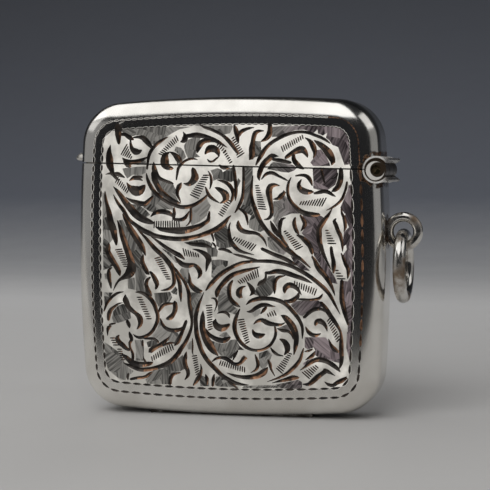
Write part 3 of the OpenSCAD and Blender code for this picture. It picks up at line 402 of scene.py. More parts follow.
# Patches of hatched ground between the leaves, each by its corners "x z".
ground_patches = """
13.4 18.6, 16.3 18.6, 17.1 18.4, 17.8 17.9, 18.25 17.2, 18.4 16.4, 18.45 13, 17.9 13, 17.7 15.4, 17.3 16.6,
    16.6 17.4, 15.8 17.9, 14.9 17.4, 14.3 17, 13.6 17.3
18.1 10.2, 18.45 10.4, 18.45 -10.4, 18.15 -10
17.4 6.35, 18.3 6.4, 18.3 5.8, 17.4 5.85
17.7 -8.6, 18.45 -9, 18.45 -14, 18.1 -14, 17.9 -12, 17.7 -10
-15.1 18.5, -15 17.8, -14.3 17.6, -13.6 17.2, -13.1 17.3, -12.2 17.4, -11.4 16.9, -10.6 16.1, -10.2 15.9,
    -9.3 16.6, -8.3 17.15, -7.3 17.7, -6.5 18.1, -5 18.4, -4.5 18.5
-15 12.65, -14 12.75, -12.8 12.9, -11.4 12.9, -11.5 12, -12.4 11.6, -13.4 11.75, -14.3 11.2, -14.7 11.8
-13.2 13.4, -12.2 13.5, -11.5 13.8, -11.4 13.25, -12.8 13.1
-9.8 11.4, -9 10.9, -8 10.6, -7.4 10.3, -7 9.5, -7 8.6, -6.6 7.9, -7.4 8.1, -8.4 8.7, -9.2 9.5, -9.8 10.6
-10.7 9.4, -9.9 8.7, -8.8 8, -7.6 7.3, -7.4 6.7, -8.4 6.8, -9.6 6.7, -10.4 6.35, -11 6.5, -12 7.1,
    -11.4 7.4, -10.7 8.2
-14 7.6, -13.2 7.5, -12.4 7.3, -11.5 6.7, -10.9 6, -11.6 5.6, -12.5 6, -13.3 6.7
-5.3 16.6, -4.2 17, -3.3 16.9, -3.6 16.2, -4 15.4, -4 14.7, -3.4 14.2, -4.4 14.1, -5.2 14, -5.6 14.9,
    -5.8 15.8
-7 15.7, -6.2 15.5, -5.8 15, -5.5 14.2, -6.2 13.5, -6.7 13, -6.9 13.4, -6.3 13.9, -6.6 14.6, -7.2 15.1
-3.9 18.6, -2 18.3, -.8 17.85, .2 17.3, 1 17.5, 1.4 18.4, 1.3 18.6
-1.9 12.3, -.9 12.6, -.3 12.4, -.1 12, .5 12.4, 1.3 12.7, 1.4 11.6, 1.5 10.8, 1 10.6, .2 10.9, -.8 11.1,
    -1.5 10.8, -1.6 11.6
2.1 11.2, 2.5 10.8, 2.2 10.2, 1.95 9.6, 1.95 10.6
3.1 12.7, 4.25 12.7, 4.2 11, 4 9.4, 4 8.4, 4.2 7.4, 4.5 6.5, 4 5.9, 3.4 6.2, 2.4 6.9, 2.9 7.9, 3 9,
    3.05 10.8
-4.8 7.1, -3.8 7.4, -2.9 8, -2.5 8.5, -2.3 7.9, -1.9 7.3, -2.3 6.5, -2.5 5.9, -3.6 5, -4.7 4.5, -4.95 5.2,
    -4.7 6.2
4.5 16.4, 5.4 16.3, 5.5 15, 5 14.2, 4.4 14, 4.5 15.2
7.1 18.3, 8.4 18.4, 10 18.4, 12.4 18.4, 14 18.3, 13 17.4, 11.6 17.85, 10.4 17.8, 9 17.4, 7.8 16.9, 7 16.9
14.9 17.4, 15.8 17.9, 16.6 17.4, 17.3 16.6, 17.7 15.4, 17.9 13.9, 18 13, 17.3 12.9, 16.9 14, 16.4 15.4,
    15.6 15.7, 15.2 16.3, 14.7 16.7
12.5 13.3, 13.2 14.2, 13.4 15, 14 15.1, 14.7 14.2, 15.2 13.2, 15.3 12.8, 12.9 12.8
7.2 13.4, 8 13.3, 9.2 13.1, 10 13, 10.6 12.6, 10.2 12.2, 9.4 11.9, 8.4 12, 7 12.3, 6.3 12.4, 6.8 13.1
12.8 12.5, 13.9 12.6, 16.3 12.3, 16.3 11, 16 10.2, 15 9.5, 13.6 9.5, 12.9 9.7, 12.9 10.9
7.2 7.9, 8 8, 8.5 8.6, 8.9 8.7, 9.3 8.2, 10 7.4, 10.9 6.7, 11.4 6.2, 9.8 6.2, 8.6 5.8, 7.4 5.8, 7.1 6.6
17.9 10.2, 18.2 10, 18.2 6.2, 17.3 6.2, 16.7 7, 17.2 8.2, 17.7 9.3
-18.1 9.2, -17.75 9.1, -17.5 7.6, -17.2 6, -16.75 3.6, -16.4 2.6, -16.9 2.1, -17.5 1.5, -17.6 .8, -17.2 -.2,
    -16.5 -1.3, -17.2 -1.7, -18.05 -2
-17.9 -2.5, -17.4 -2.4, -17.4 -3.3, -17.8 -3.3
-15.7 5.2, -15 5.3, -14.6 4.4, -13.9 3.6, -13.2 2.3, -12.5 1.3, -12 .3, -12.3 -.3, -12.4 -1.2, -11.9 -2.2,
    -11.5 -2.9, -11.9 -3.4, -11.9 -4.4, -11.3 -5.4, -12.2 -5.1, -13.1 -4.9, -13.2 -3, -13.3 -1, -13.7 .3,
    -14.3 1.6, -14.8 2.8, -15.3 4
-14.4 -3.2, -13.3 -3, -13.2 -4.8, -14.3 -4.6
-10.4 -5.2, -8 -5, -7.7 -5.8, -8.1 -6.5, -9.2 -6.6, -9.7 -7.2, -10.2 -6.4
-7.9 -5, -7.2 -4.2, -6.9 -4.6, -7 -5.4, -7.5 -5.3
-9.3 1.3, -8.3 .8, -7 -.1, -6.6 -.7, -7.1 -.9, -8 .1
-18 -5.2, -16.6 -5.2, -17.3 -6.2, -17.9 -7.2
-5.7 2.1, -4.2 2.4, -3.2 2.55, -2.2 2.2, -1.7 1.9, -1.8 1.5, -3 1.65, -4.5 1.85
-1.3 3.6, -.2 4.4, .3 5, .5 4.2, .6 3.2, .9 2.2, 1.3 1.5, .3 1.3, -.6 1.3, -1.1 1.6, -1.2 2.4, -1.5 3.1
-2.6 1.4, -1.2 1.4, -.9 .9, -1 .1, -2 .05, -2.4 .6
-1.9 -.4, -.6 -.3, .6 -.5, .5 -1.2, -.3 -1.8, -1.2 -2.6, -1.6 -3, -1.9 -2.8, -1.8 -1.2
3.6 5, 4 5.9, 4.6 6.5, 5 5.6, 5.6 4.5, 5.9 3.9, 5.3 3.6, 4.4 3.8, 3.7 4.2
-6.3 -1.6, -5.2 -1.6, -5.15 -2.6, -5.2 -3.6, -5.6 -3.9, -6.2 -2.8, -6.6 -2
-5 -5, -3.2 -5.1, -3.6 -6.3, -3.9 -6.8, -4.1 -7.6, -4.4 -8.6, -4.7 -8.6, -4.8 -7.4, -5 -6.6
-.8 -5.2, -.2 -4.3, .5 -4, .5 -5.2, .8 -6, 1.5 -7, 2 -7.3, 1.6 -8.1, .8 -7.8, -.9 -7.9, -1 -6.4
4.3 -5.2, 4.7 -4.2, 5.3 -3.9, 6 -3.4, 6.4 -2.6, 7.4 -2.45, 7.15 -3.6, 7.1 -4.8, 6.7 -5.3, 5.6 -5.6
7 6.3, 7.3 5.6, 7.1 5.2, 7.8 4, 8.1 3.4, 7.9 4.6, 8 5.4, 8.6 5.8
6.3 2.9, 6.7 2.9, 7.5 2.2, 8.5 1.3, 9 .8, 8.6 .4, 7.6 .8, 6.7 1.2, 6.4 1.6
11.3 6.1, 12.5 5.9, 14 5.9, 14.4 5.6, 13.6 4.4, 13.4 3.3, 13.5 2.2, 13.9 .8, 14.6 -.5, 15.2 -1.5, 15.5 -2,
    15.9 -2.6, 16.3 -3.6, 15.4 -3.4, 14.9 -2.6, 13.8 -.9, 13 .3, 12.8 1.3, 12.4 2.2, 11.7 2.9, 11.2 3.5,
    11.7 4.2, 11.9 4.9, 11.5 5.6
9.6 .3, 10.5 -.1, 11.5 -.9, 12.4 -1.8, 11.4 -1.7, 10.3 -1
17.3 6, 18.2 6, 18.2 -2, 17.9 -1.8, 17.5 -.8, 17 .4, 17.6 1.2, 17.5 1.9, 17.1 1.6, 17.1 2.8, 17.2 3.6,
    17.9 4.3, 17.6 5
17.1 -3.1, 17.7 -3.2, 18.2 -2.4, 18.2 -10, 17.9 -9, 17.5 -7.5, 17.2 -5.5
10.6 -6, 12.4 -6, 13.6 -5.9, 14.1 -6.5, 14.2 -6.8, 12.9 -6.9, 12 -7.5, 11.3 -8.1, 10.8 -8, 10.1 -7.2,
    9.6 -6.6, 10.2 -6.1
-16.8 -8.9, -16.6 -7.9, -15.9 -7.1, -15.1 -6.8, -14.6 -7.2, -14 -8, -13.9 -8.9, -14.4 -9.1, -15.2 -9.4,
    -15.9 -9.6, -16.6 -9.5
-13.4 -12, -12.1 -12, -12 -13, -12.05 -14.2, -11.9 -15, -13.3 -15, -13.2 -13.5
-11.6 -12.3, -10.8 -11.95, -10.1 -12.15, -9.9 -12.5, -10.6 -12.95, -11.4 -13
-10 -10.4, -9.6 -9.2, -9.3 -9.8, -8.8 -10.4, -8 -10.8, -6.9 -10.8, -6.6 -11.6, -7.1 -12.6, -8 -12.3,
    -8.4 -11.9, -8.3 -11.3, -9.4 -12.3, -10 -11.7, -10.8 -11.4
-18 -12.4, -17 -13, -16 -13.7, -15.4 -14.3, -15 -15.2, -14.3 -16.1, -13.6 -16.5, -13.9 -16.9, -14.6 -17.1,
    -14.8 -17.9, -15.6 -17.8, -16.8 -17, -17.5 -16.4, -17.9 -15
-11 -16.8, -10.6 -16.3, -9.3 -16.1, -8 -15.4, -7.2 -14.7, -6.2 -14, -6 -15, -5.9 -16, -6.5 -16.3,
    -7.3 -16.5, -8.2 -16.9, -8.4 -18.3, -11.6 -18.3, -11.8 -17.7
-2 -11.8, -1.2 -12.1, -.3 -12.3, .4 -12.1, .9 -11.7, 1.7 -11.6, 2.2 -12.5, 2.9 -13.1, 2 -13.1, 1.4 -13.7,
    1 -14.4, .2 -14.1, -.7 -13.9, -1.2 -13.2
-.9 -11.2, -.2 -10.7, .3 -10.6, .8 -11.2, .2 -11.4
-5.6 -12.6, -4.9 -11.9, -4.75 -13.2, -5.4 -13.2
-3.7 -17.6, -3.4 -16.9, -3 -17, -2.4 -17.6, -2.3 -18.4, -3.6 -18.4
-1.3 -17, -.6 -16.9, .2 -17.5, 1 -18, 2 -18.4, -.9 -18.4, -1.5 -18.2
2.8 -18.2, 5.8 -18, 7.4 -18, 8 -18.3, 5 -18.5, 2.5 -18.5
5 -13.5, 6.3 -13, 6.9 -13.7, 6.6 -14.5, 6.2 -15.2, 5.6 -15.8, 5.1 -15.3, 5 -14.4
4 -7.9, 4.6 -7.5, 5.2 -7.2, 5.3 -7.8, 4.9 -8.2, 4.4 -8.4
11.6 -11.1, 13.2 -11.05, 14.6 -11.05, 15 -11.6, 15.3 -12.4, 15.9 -13, 16.5 -13.2, 16.6 -14.6, 15.6 -14.4,
    14.6 -14, 13.4 -13.8, 13 -13.5, 13.1 -12.9, 12.9 -12.5, 12 -12.8, 11.6 -12.5
7.3 -17.9, 9 -17.5, 10.6 -17.1, 11.2 -17.4, 11.2 -18.2, 10.6 -18.4, 8.2 -18.4
7.9 -9.8, 8.9 -9.4, 9.3 -9.3, 9.6 -9.8, 9.6 -10.2, 8.6 -10
17.6 -10.2, 18.2 -10.4, 18.2 -14, 17.9 -14, 17.5 -12.5
11.3 -14.8, 12 -14.3, 12.8 -14, 12.2 -14.6, 11.5 -15.1
"""

cut_bold = 1.5
cut_thinnest = 0.07
cut_step = 0.28


def read_rows(text):
    """Rows of points from lines of text, each point's numbers parted by spaces."""
    rows = text.strip().replace(",\n", ",").splitlines()
    return [[tuple(map(float, point.split())) for point in row.split(",")] for row in rows]


def smooth_path(points):
    """A smooth curve through the points, with the width carried along it."""
    knots = [np.array(point) for point in points]
    knots = [2 * knots[0] - knots[1]] + knots + [2 * knots[-1] - knots[-2]]
    path = []
    for before, start, stop, after in zip(knots, knots[1:], knots[2:], knots[3:]):
        steps = max(1, round(float(np.hypot(*(stop - start)[:2])) / cut_step))
        for step in range(steps):
            t = step / steps
            bent = 2 * start + (stop - before) * t
            bent = bent + (2 * before - 5 * start + 4 * stop - after) * t ** 2
            bent = bent + (3 * start - before - 3 * stop + after) * t ** 3
            path.append(bent / 2)
    path.append(knots[-2])
    return [(x, z, max(cut_bold * width, cut_thinnest)) for x, z, width in path]


cut_paths = []
for cuts in (cuts_upper_left, cuts_upper_middle, cuts_upper_right, cuts_middle_left, cuts_middle,
             cuts_middle_right, cuts_lower_left, cuts_lower_middle, cuts_lower_right):
    cut_paths += [smooth_path(row) for row in read_rows(cuts)]

# Each tick is a short straight cut, pointed at both ends: shares of its half length, and of its width there.
tick_width = 0.22
tick_pitch = 0.33
tick_reach = 1.45
tick_swell = ((-0.85, 0.8), (0, 1), (0.85, 0.8))


def tick_path(x, z, length, lean):
    """One tick about its middle."""
    reach_x = tick_reach * length / 2 * math.cos(math.radians(lean))
    reach_z = tick_reach * length / 2 * math.sin(math.radians(lean))
    return [(x + share * reach_x, z + share * reach_z, tick_width * wide) for share, wide in tick_swell]


for first, last in read_rows(tick_rows):
    row_lean = math.atan2(last[1] - first[1], last[0] - first[0])
    across = abs(math.sin(row_lean - math.radians((first[3] + last[3]) / 2)))
    count = round(math.dist(first[:2], last[:2]) * across / tick_pitch) + 1
    cut_paths += [tick_path(*tick) for tick in np.linspace(first, last, count)]

# Border dashes stand in two rows. Each is a lens: the share of its length, and of its width there.
dash_rows = (4.0, 2.7)
dash_swell = ((0.05, 0.3), (0.3, 1), (0.7, 0.85), (0.95, 0.2))
dash_length = 0.9
dash_line_fine = 6
dash_uneven = (0.92, 1.08)
dash_thin = 0.08
dash_broaden = 0.21
dash_widest = 0.36
top_dash_width = 0.17
by_side = 16
by_corner = 14
corner_foot = 12.5
bottom_pitch = 1.62
left_pitch = 1.3
hinge_pitch = 2.1
corner_pitch = 0.55
top_pitch = 0.95


def dash_pitch(x, z):
    """Distance from dash to dash, which the engraver chose anew along each side."""
    if z < -by_side:
        return bottom_pitch
    if x < -by_side:
        return left_pitch
    if x > by_side and z < corner_foot:
        return hinge_pitch
    return corner_pitch if x > by_corner else top_pitch


def dash_paths(inset):
    """Lens shaped dashes along a line this far inside the case's side."""
    line = np.array(outline(inset, dash_line_fine))
    line = np.vstack([line, line[:1]])
    run = np.concatenate([[0], np.cumsum(np.hypot(*np.diff(line, axis=0).T))])
    hand = random.Random(int(inset * 10))
    paths = []
    place = 0.0
    while place < run[-1] - 1:
        x, z = (np.interp(place, run, line[:, axis]) for axis in (0, 1))
        pitch = dash_pitch(x, z) * hand.uniform(*dash_uneven)
        width = top_dash_width if z > by_side else min(dash_thin + dash_broaden * pitch, dash_widest)
        dash = []
        for share, wide in dash_swell:
            mark = place + pitch * dash_length * share
            dash.append((*(np.interp(mark, run, line[:, axis]) for axis in (0, 1)), wide * width))
        paths.append(dash)
        place += pitch
    return paths


# A bright burr stands round the dashes, except on the outer row by the hinge and along the bottom.
burr_width = 0.048
warm_side = 15
bottom_side = -15
burr_paths = []
for inset in dash_rows:
    for dash in dash_paths(inset):
        cut_paths.append(dash)
        x, z, _ = dash[0]
        if inset == dash_rows[0] or (x < warm_side and z > bottom_side):
            burr_paths.append(dash)

# The engraved plate: every edge of a cut, a burr or a patch is laid flat, joined into faces, and then sunk.
plate_inset = 2.3
plate_rings = (dash_rows[0] + 0.3, edge_r, 2.9, 2.5, plate_inset)
plate_weld = 1e-5
plate_points = []
plate_edges = []
spine_starts = []
spine_stops = []


def add_line(points, closed):
    """Lays a line of points into the plate as edges that its faces keep to."""
    first = len(plate_points)
    plate_points.extend(Vector((x, z)) for x, z in points)
    last = len(plate_points) - 1
    plate_edges.extend((spot, spot + 1) for spot in range(first, last))
    if closed:
        plate_edges.append((last, first))


def line_round(spine, grow):
    """The closed line round a cut, from tip to tip and back, this far outside it."""
    run = np.gradient(spine[:, :2], axis=0)
    run /= np.hypot(run[:, 0], run[:, 1])[:, None]
    wide = spine[:, 2:3] / 2 + grow
    side = np.column_stack([-run[:, 1], run[:, 0]]) * wide
    first = spine[0, :2] - run[0] * wide[0]
    last = spine[-1, :2] + run[-1] * wide[-1]
    return np.vstack([first, spine[:, :2] + side, last, (spine[:, :2] - side)[::-1]])


for path in cut_paths:
    spine = np.array(path)
    edge = line_round(spine, 0)
    middle = np.vstack([edge[0], spine[:, :2], edge[len(spine) + 1]])
    add_line(edge, True)
    add_line(middle, False)
    half = np.concatenate([[0], spine[:, 2] / 2, [0]])
    spine_starts += [(x, z, h) for (x, z), h in zip(middle[:-1], half[:-1])]
    spine_stops += [(x, z, h) for (x, z), h in zip(middle[1:], half[1:])]
burrs = [line_round(np.array(path), burr_width) for path in burr_paths]
patches = [np.array(patch) for patch in read_rows(ground_patches)]
for line in burrs + patches + [outline(inset) for inset in plate_rings]:
    add_line(line, True)

# A cut is as deep as its walls' slope makes it, up to the graver's deepest.
cut_slope = 0.7
cut_deepest = 0.24
cut_least = 0.003
search_cell = 2.0
search_reach = 0.6
no_length = 1e-12
no_rise = 1e-9
spine_starts = np.array(spine_starts)
spine_stops = np.array(spine_stops)
spine_low = np.minimum(spine_starts, spine_stops)[:, :2] - search_reach
spine_high = np.maximum(spine_starts, spine_stops)[:, :2] + search_reach


def cut_depth(points):
    """Depth of the deepest cut under each point."""
    depth = np.zeros(len(points))
    cells = np.floor(points / search_cell).astype(int)
    for corner in np.unique(cells, axis=0):
        low = corner * search_cell
        near = np.all((spine_low < low + search_cell) & (spine_high > low), axis=1)
        if not near.any():
            continue
        here = np.all(cells == corner, axis=1)
        spots = points[here][:, None, :]
        start = spine_starts[near][None]
        stop = spine_stops[near][None]
        along = stop[..., :2] - start[..., :2]
        length = np.maximum((along ** 2).sum(-1), no_length)
        share = np.clip(((spots - start[..., :2]) * along).sum(-1) / length, 0, 1)
        away = np.hypot(*np.moveaxis(spots - start[..., :2] - along * share[..., None], -1, 0))
        half = start[..., 2] + (stop[..., 2] - start[..., 2]) * share
        depth[here] = np.max(half - away, axis=1)
    return np.clip(depth * cut_slope, 0, cut_deepest)


def inside_patch(points, patch):
    """Which points lie inside the patch."""
    inside = np.zeros(len(points), bool)
    for (x0, z0), (x1, z1) in zip(patch, np.roll(patch, -1, axis=0)):
        spans = (z0 > points[:, 1]) != (z1 > points[:, 1])
        rise = z1 - z0 if abs(z1 - z0) > no_rise else no_rise
        inside ^= spans & (points[:, 0] < (x1 - x0) * (points[:, 1] - z0) / rise + x0)
    return inside


def inside_any(points, lines):
    """Which points lie inside one or more of the closed lines."""
    inside = np.zeros(len(points), bool)
    for line in lines:
        near = np.flatnonzero(np.all((points > line.min(0)) & (points < line.max(0)), axis=1))
        inside[near] |= inside_patch(points[near], line)
    return inside


flat_points, _, flat_faces, _, _, _ = delaunay_2d_cdt(plate_points, plate_edges, [], 0, plate_weld)
plate = np.array([tuple(point) for point in flat_points])
plate_faces = [tuple(face) for face in flat_faces]
sunk = cut_depth(plate)
sunk[sunk < cut_least] = 0
plate_depth = depth_at(inset_of(plate[:, 0], plate[:, 1])) - sunk
centres = np.array([plate[list(face)].mean(0) for face in plate_faces])
from_side = inset_of(centres[:, 0], centres[:, 1])
cut_under = cut_depth(centres)
in_cut = cut_under > cut_least
in_field = from_side > dash_rows[0]
in_ground = inside_any(centres, patches)
in_burr = inside_any(centres, burrs)


# Silver of the shells: polished on the border, satin on the leaves, hatched on the ground, dark in the cuts.
# Each finish is a procedural material on Object coordinates, in metres.
class Socket:
    """A shader socket on which Python's operators add Math nodes."""

    def __init__(self, finish, socket):
        self.finish = finish
        self.socket = socket

    def math(self, operation, first, second):
        return self.finish.node("ShaderNodeMath", {"operation": operation}, {0: first, 1: second})

    def __add__(self, other):
        return self.math("ADD", self, other)

    def __radd__(self, other):
        return self.math("ADD", other, self)

    def __sub__(self, other):
        return self.math("SUBTRACT", self, other)

    def __rsub__(self, other):
        return self.math("SUBTRACT", other, self)

    def __mul__(self, other):
        return self.math("MULTIPLY", self, other)

    def __rmul__(self, other):
        return self.math("MULTIPLY", other, self)


class Finish:
    """One material and its nodes."""

    def __init__(self, name):
        self.material = bpy.data.materials.new(name)
        self.material.use_nodes = True
        self.tree = self.material.node_tree
        self.tree.nodes.clear()

    def node(self, kind, settings=None, inputs=None, output=0):
        made = self.tree.nodes.new(kind)
        for name, setting in (settings or {}).items():
            if name == "stops":
                ramp = made.color_ramp
                while len(ramp.elements) < len(setting):
                    ramp.elements.new(0.5)
                for element, (place, colour) in zip(ramp.elements, setting):
                    element.position = place
                    element.color = (*colour, 1)
            else:
                setattr(made, name, setting)
        for name, given in (inputs or {}).items():
            if isinstance(given, Socket):
                self.tree.links.new(given.socket, made.inputs[name])
            else:
                made.inputs[name].default_value = given
        return Socket(self, made.outputs[output]) if made.outputs else made

    def place(self):
        return self.node("ShaderNodeTexCoord", output="Object")

    def part(self, vector, axis):
        return self.node("ShaderNodeSeparateXYZ", {}, {"Vector": vector}, axis)

    def away(self, x, z):
        """Distance from a line along the depth, through this x and z."""
        spot = self.place()
        sides = {"X": self.part(spot, "X") - x, "Z": self.part(spot, "Z") - z}
        flat = self.node("ShaderNodeCombineXYZ", {}, sides)
        return self.node("ShaderNodeVectorMath", {"operation": "LENGTH"}, {0: flat}, "Value")

    def cloud(self, scale, detail=3.0, stretch=(1, 1, 1)):
        spot = self.node("ShaderNodeMapping", {}, {"Vector": self.place(), "Scale": stretch})
        sockets = {"Vector": spot, "Scale": scale, "Detail": detail}
        return self.node("ShaderNodeTexNoise", {}, sockets, "Fac")

    def between(self, share, low, high, to_low=0.0, to_high=1.0):
        sockets = {"Value": share, "From Min": low, "From Max": high, "To Min": to_low, "To Max": to_high}
        return self.node("ShaderNodeMapRange", {"interpolation_type": "SMOOTHSTEP"}, sockets)

    def drift(self, mottle):
        """Slow change of tone over the sheet."""
        return self.between(self.cloud(mottle), 0.35, 0.7)

    def rubbing(self):
        """Fine marks of the polishing cloth, drawn out up the case."""
        return self.cloud(2600, 4.0, (1, 1, 0.12))

    def blend(self, share, first, second):
        sockets = {"Factor": share, 6: (*first, 1) if isinstance(first, tuple) else first}
        sockets[7] = (*second, 1) if isinstance(second, tuple) else second
        return self.node("ShaderNodeMix", {"data_type": "RGBA"}, sockets, 2)

    def bump(self, height, distance):
        return self.node("ShaderNodeBump", {}, {"Height": height, "Distance": distance}, "Normal")

    def surface(self, sockets):
        shader = self.node("ShaderNodeBsdfPrincipled", {}, sockets)
        self.node("ShaderNodeOutputMaterial", {}, {"Surface": shader})
        return self.material


def joint_spot(name):
    """Where a joint of the frame turns."""
    return Vector(next(joint for joint in frame["joints"] if joint["name"] == name)["pos_m"])


hinge_spot = joint_spot("lid_hinge")
loop_spot = joint_spot("ring_swing")
loop_root = loop_spot - Vector((2.2 * MM, 0, 0))


def silver_finish(name, bright, dull, rough, mottle):
    """Metal whose colour and gloss drift over the sheet, with fine rubbing marks."""
    finish = Finish(name)
    drift = finish.drift(mottle)
    marks = finish.rubbing()
    return finish.surface({
        "Base Color": finish.blend(drift, bright, dull),
        "Metallic": 1.0,
        "Roughness": finish.between(marks * 0.6 + drift * 0.4, 0.25, 0.75, *rough),
        "Normal": finish.bump(marks, 4e-6),
    })


def border_finish():
    """Polished border, with a brown crust round the hinge and the loop, where no cloth reaches."""
    finish = Finish("border_silver")
    polished = (0.88, 0.86, 0.815)
    darker_tone = (0.76, 0.735, 0.685)
    dark_crust = (0.016, 0.01, 0.007)
    brown_crust = (0.13, 0.07, 0.038)
    drift = finish.drift(140)
    marks = finish.rubbing()
    flecks = finish.between(finish.cloud(1300, 5.0), 0.36, 0.6)
    at_hinge = finish.between(finish.away(hinge_spot.x, hinge_spot.z), 1.9 * MM, 2.9 * MM, 0.75, 0.0)
    ends = {0: finish.place(), 1: loop_root}
    from_loop = finish.node("ShaderNodeVectorMath", {"operation": "DISTANCE"}, ends, "Value")
    at_loop = finish.between(from_loop, 1.6 * MM, 2.8 * MM, 1.0, 0.0)
    stain = finish.between((at_hinge + at_loop) * flecks, 0.05, 0.3)
    crumbs = finish.between(finish.cloud(4200, 3.0), 0.42, 0.62)
    clean = finish.blend(drift, polished, darker_tone)
    crust = finish.blend(crumbs, dark_crust, brown_crust)
    return finish.surface({
        "Base Color": finish.blend(stain, clean, crust),
        "Metallic": finish.between(stain, 0.6, 1.0, 1.0, 0.3),
        "Roughness": finish.between(marks * 0.4 + drift * 0.2 + stain * 0.3, 0.15, 1.1, 0.16, 0.42),
        "Normal": finish.bump(marks, 8e-7),
    })


def leaf_finish():
    """Satin leaves between the cuts, dull in random patches; painted light brightens them to the crown."""
    finish = Finish("leaf_silver")
    lighter_tone = (0.98, 0.945, 0.872)
    darker_tone = (0.42, 0.403, 0.367)
    # Painted light from above makes the leaves lighter towards the crown; they are also made lighter towards
    # the hinge side.
    painted_light_up = 9
    brighter_aside = 4
    spot = finish.place()
    lighter_by_place = finish.part(spot, "Z") * painted_light_up + finish.part(spot, "X") * brighter_aside
    dull = finish.between(finish.cloud(330, 4.0) - lighter_by_place, 0.0, 0.5)
    satin = finish.cloud(9000, 2.0)
    return finish.surface({
        "Base Color": finish.blend(dull, lighter_tone, darker_tone),
        "Metallic": 0.18,
        "Roughness": finish.between(dull, 0.0, 1.0, 0.4, 0.5),
        "Normal": finish.bump(satin, 4e-6),
    })


def ground_finish():
    """Ground between the leaves, hatched in small patches, each with its own painted sheen."""
    finish = Finish("ground_silver")
    dark_steel = (0.03, 0.029, 0.027)
    bright_steel = (0.4, 0.385, 0.355)
    dark_mauve = (0.036, 0.029, 0.031)
    bright_mauve = (0.4, 0.33, 0.342)
    patch_scale = 340.0
    least_lean = 0.6
    lean_span = 2.0
    stroke_along = 240
    stroke_across = 3800
    stroke_shuffle = 40
    spot = finish.place()
    patch = finish.node("ShaderNodeTexVoronoi", {}, {"Vector": spot, "Scale": patch_scale}, "Color")
    lean = finish.node("ShaderNodeSeparateColor", {}, {"Color": patch}, "Red") * lean_span + least_lean
    tone = finish.node("ShaderNodeSeparateColor", {}, {"Color": patch}, "Green")
    lean_cos = finish.node("ShaderNodeMath", {"operation": "COSINE"}, {0: lean})
    lean_sin = finish.node("ShaderNodeMath", {"operation": "SINE"}, {0: lean})
    across = finish.part(spot, "X")
    up = finish.part(spot, "Z")
    along = across * lean_cos + up * lean_sin
    athwart = up * lean_cos - across * lean_sin
    stroke = {"X": along * stroke_along, "Y": athwart * stroke_across, "Z": tone * stroke_shuffle}
    stroke_spot = finish.node("ShaderNodeCombineXYZ", {}, stroke)
    sockets = {"Vector": stroke_spot, "Scale": 1.0, "Detail": 3.0}
    streaks = finish.node("ShaderNodeTexNoise", {}, sockets, "Fac")
    # Painted sheen: each patch's hatching is painted lighter or darker by patch and along its streaks, as it
    # would catch the light.
    painted_sheen = finish.between(streaks + tone * 0.3, 0.36, 0.92)
    steel = finish.blend(painted_sheen, dark_steel, bright_steel)
    mauve = finish.blend(painted_sheen, dark_mauve, bright_mauve)
    to_hinge = finish.between(across, 6 * MM, 13 * MM)
    return finish.surface({
        "Base Color": finish.blend(to_hinge, steel, mauve),
        "Metallic": 0.5,
        "Roughness": finish.between(tone, 0.0, 1.0, 0.34, 0.5),
        "Normal": finish.bump(streaks, 2.5e-5),
    })


def cut_finish(name, dark, light, metal):
    """Wall of a cut, with the tarnish that collects in it."""
    finish = Finish(name)
    tarnish = finish.between(finish.cloud(900, 3.0), 0.35, 0.68)
    return finish.surface({
        "Base Color": finish.blend(tarnish, dark, light),
        "Metallic": metal,
        "Roughness": finish.between(tarnish, 0.0, 1.0, 0.5, 0.36),
    })


inside_silver = silver_finish("inside_silver", bright=(0.62, 0.59, 0.52), dull=(0.36, 0.32, 0.26),
                              rough=(0.28, 0.42), mottle=260)
# Near-black silver for the sawn rims: painted shade in the seam's gap and in the sawn hollows.
rim_painted_shade = silver_finish("rim_painted_shade", bright=(0.05, 0.042, 0.035), dull=(0.015, 0.012, 0.01),
                           rough=(0.4, 0.55), mottle=900)
dark_cut = cut_finish("dark_cut", dark=(0.012, 0.01, 0.009), light=(0.05, 0.04, 0.033), metal=0.4)
warm_cut = cut_finish("warm_cut", dark=(0.045, 0.025, 0.016), light=(0.4, 0.215, 0.125), metal=0.7)
# Faces that the saw makes later take the first finish, the dark rim, painted shade in the seam's gap.
shell_finishes = (rim_painted_shade, border_finish(), leaf_finish(), ground_finish(),
                  dark_cut, warm_cut, inside_silver)
POLISHED, LEAF, GROUND, DARK, WARM, INSIDE = range(1, len(shell_finishes))

# Warm colour in the cuts: tarnish by place, and painted light by the lean and the depth of a wall.
warm_low = -12
inner_row_half = 0.25
outer_row_half = 0.3
warm_grain = 0.3
warm_tilt = 0.3
warm_lean = -0.2
warm_patch = -0.2
warm_depth = 0.045


def wall_finish(face, centre, inset, deep):
    """Warm tarnish in the dashes by the hinge; painted light, copper, on walls that face up and away from it.
    """
    if inset < dash_rows[0] + inner_row_half:
        by_hinge = centre[0] > warm_side and centre[1] > warm_low
        return WARM if by_hinge and inset < dash_rows[1] + outer_row_half else DARK
    # Painted light: deep walls facing up and away from the hinge, towards the top and left lamps, are painted
    # copper in patches.
    corners = [Vector((plate[spot][0], -plate_depth[spot], plate[spot][1])) for spot in face]
    facing = (corners[1] - corners[0]).cross(corners[2] - corners[0]).normalized()
    patchy = noise.noise(Vector((centre[0] * warm_grain, 0, centre[1] * warm_grain)))
    lean = facing.x - warm_tilt * facing.z
    return WARM if lean < warm_lean and patchy > warm_patch and deep > warm_depth else DARK


front_points = [(x, -depth, z) for (x, z), depth in zip(plate, plate_depth)]
front_faces = list(plate_faces)
front_finish = []
for number, face in enumerate(plate_faces):
    if in_cut[number]:
        front_finish.append(wall_finish(face, centres[number], from_side[number], cut_under[number]))
    elif in_field[number]:
        front_finish.append(GROUND if in_ground[number] else LEAF)
    else:
        front_finish.append(LEAF if in_burr[number] else POLISHED)

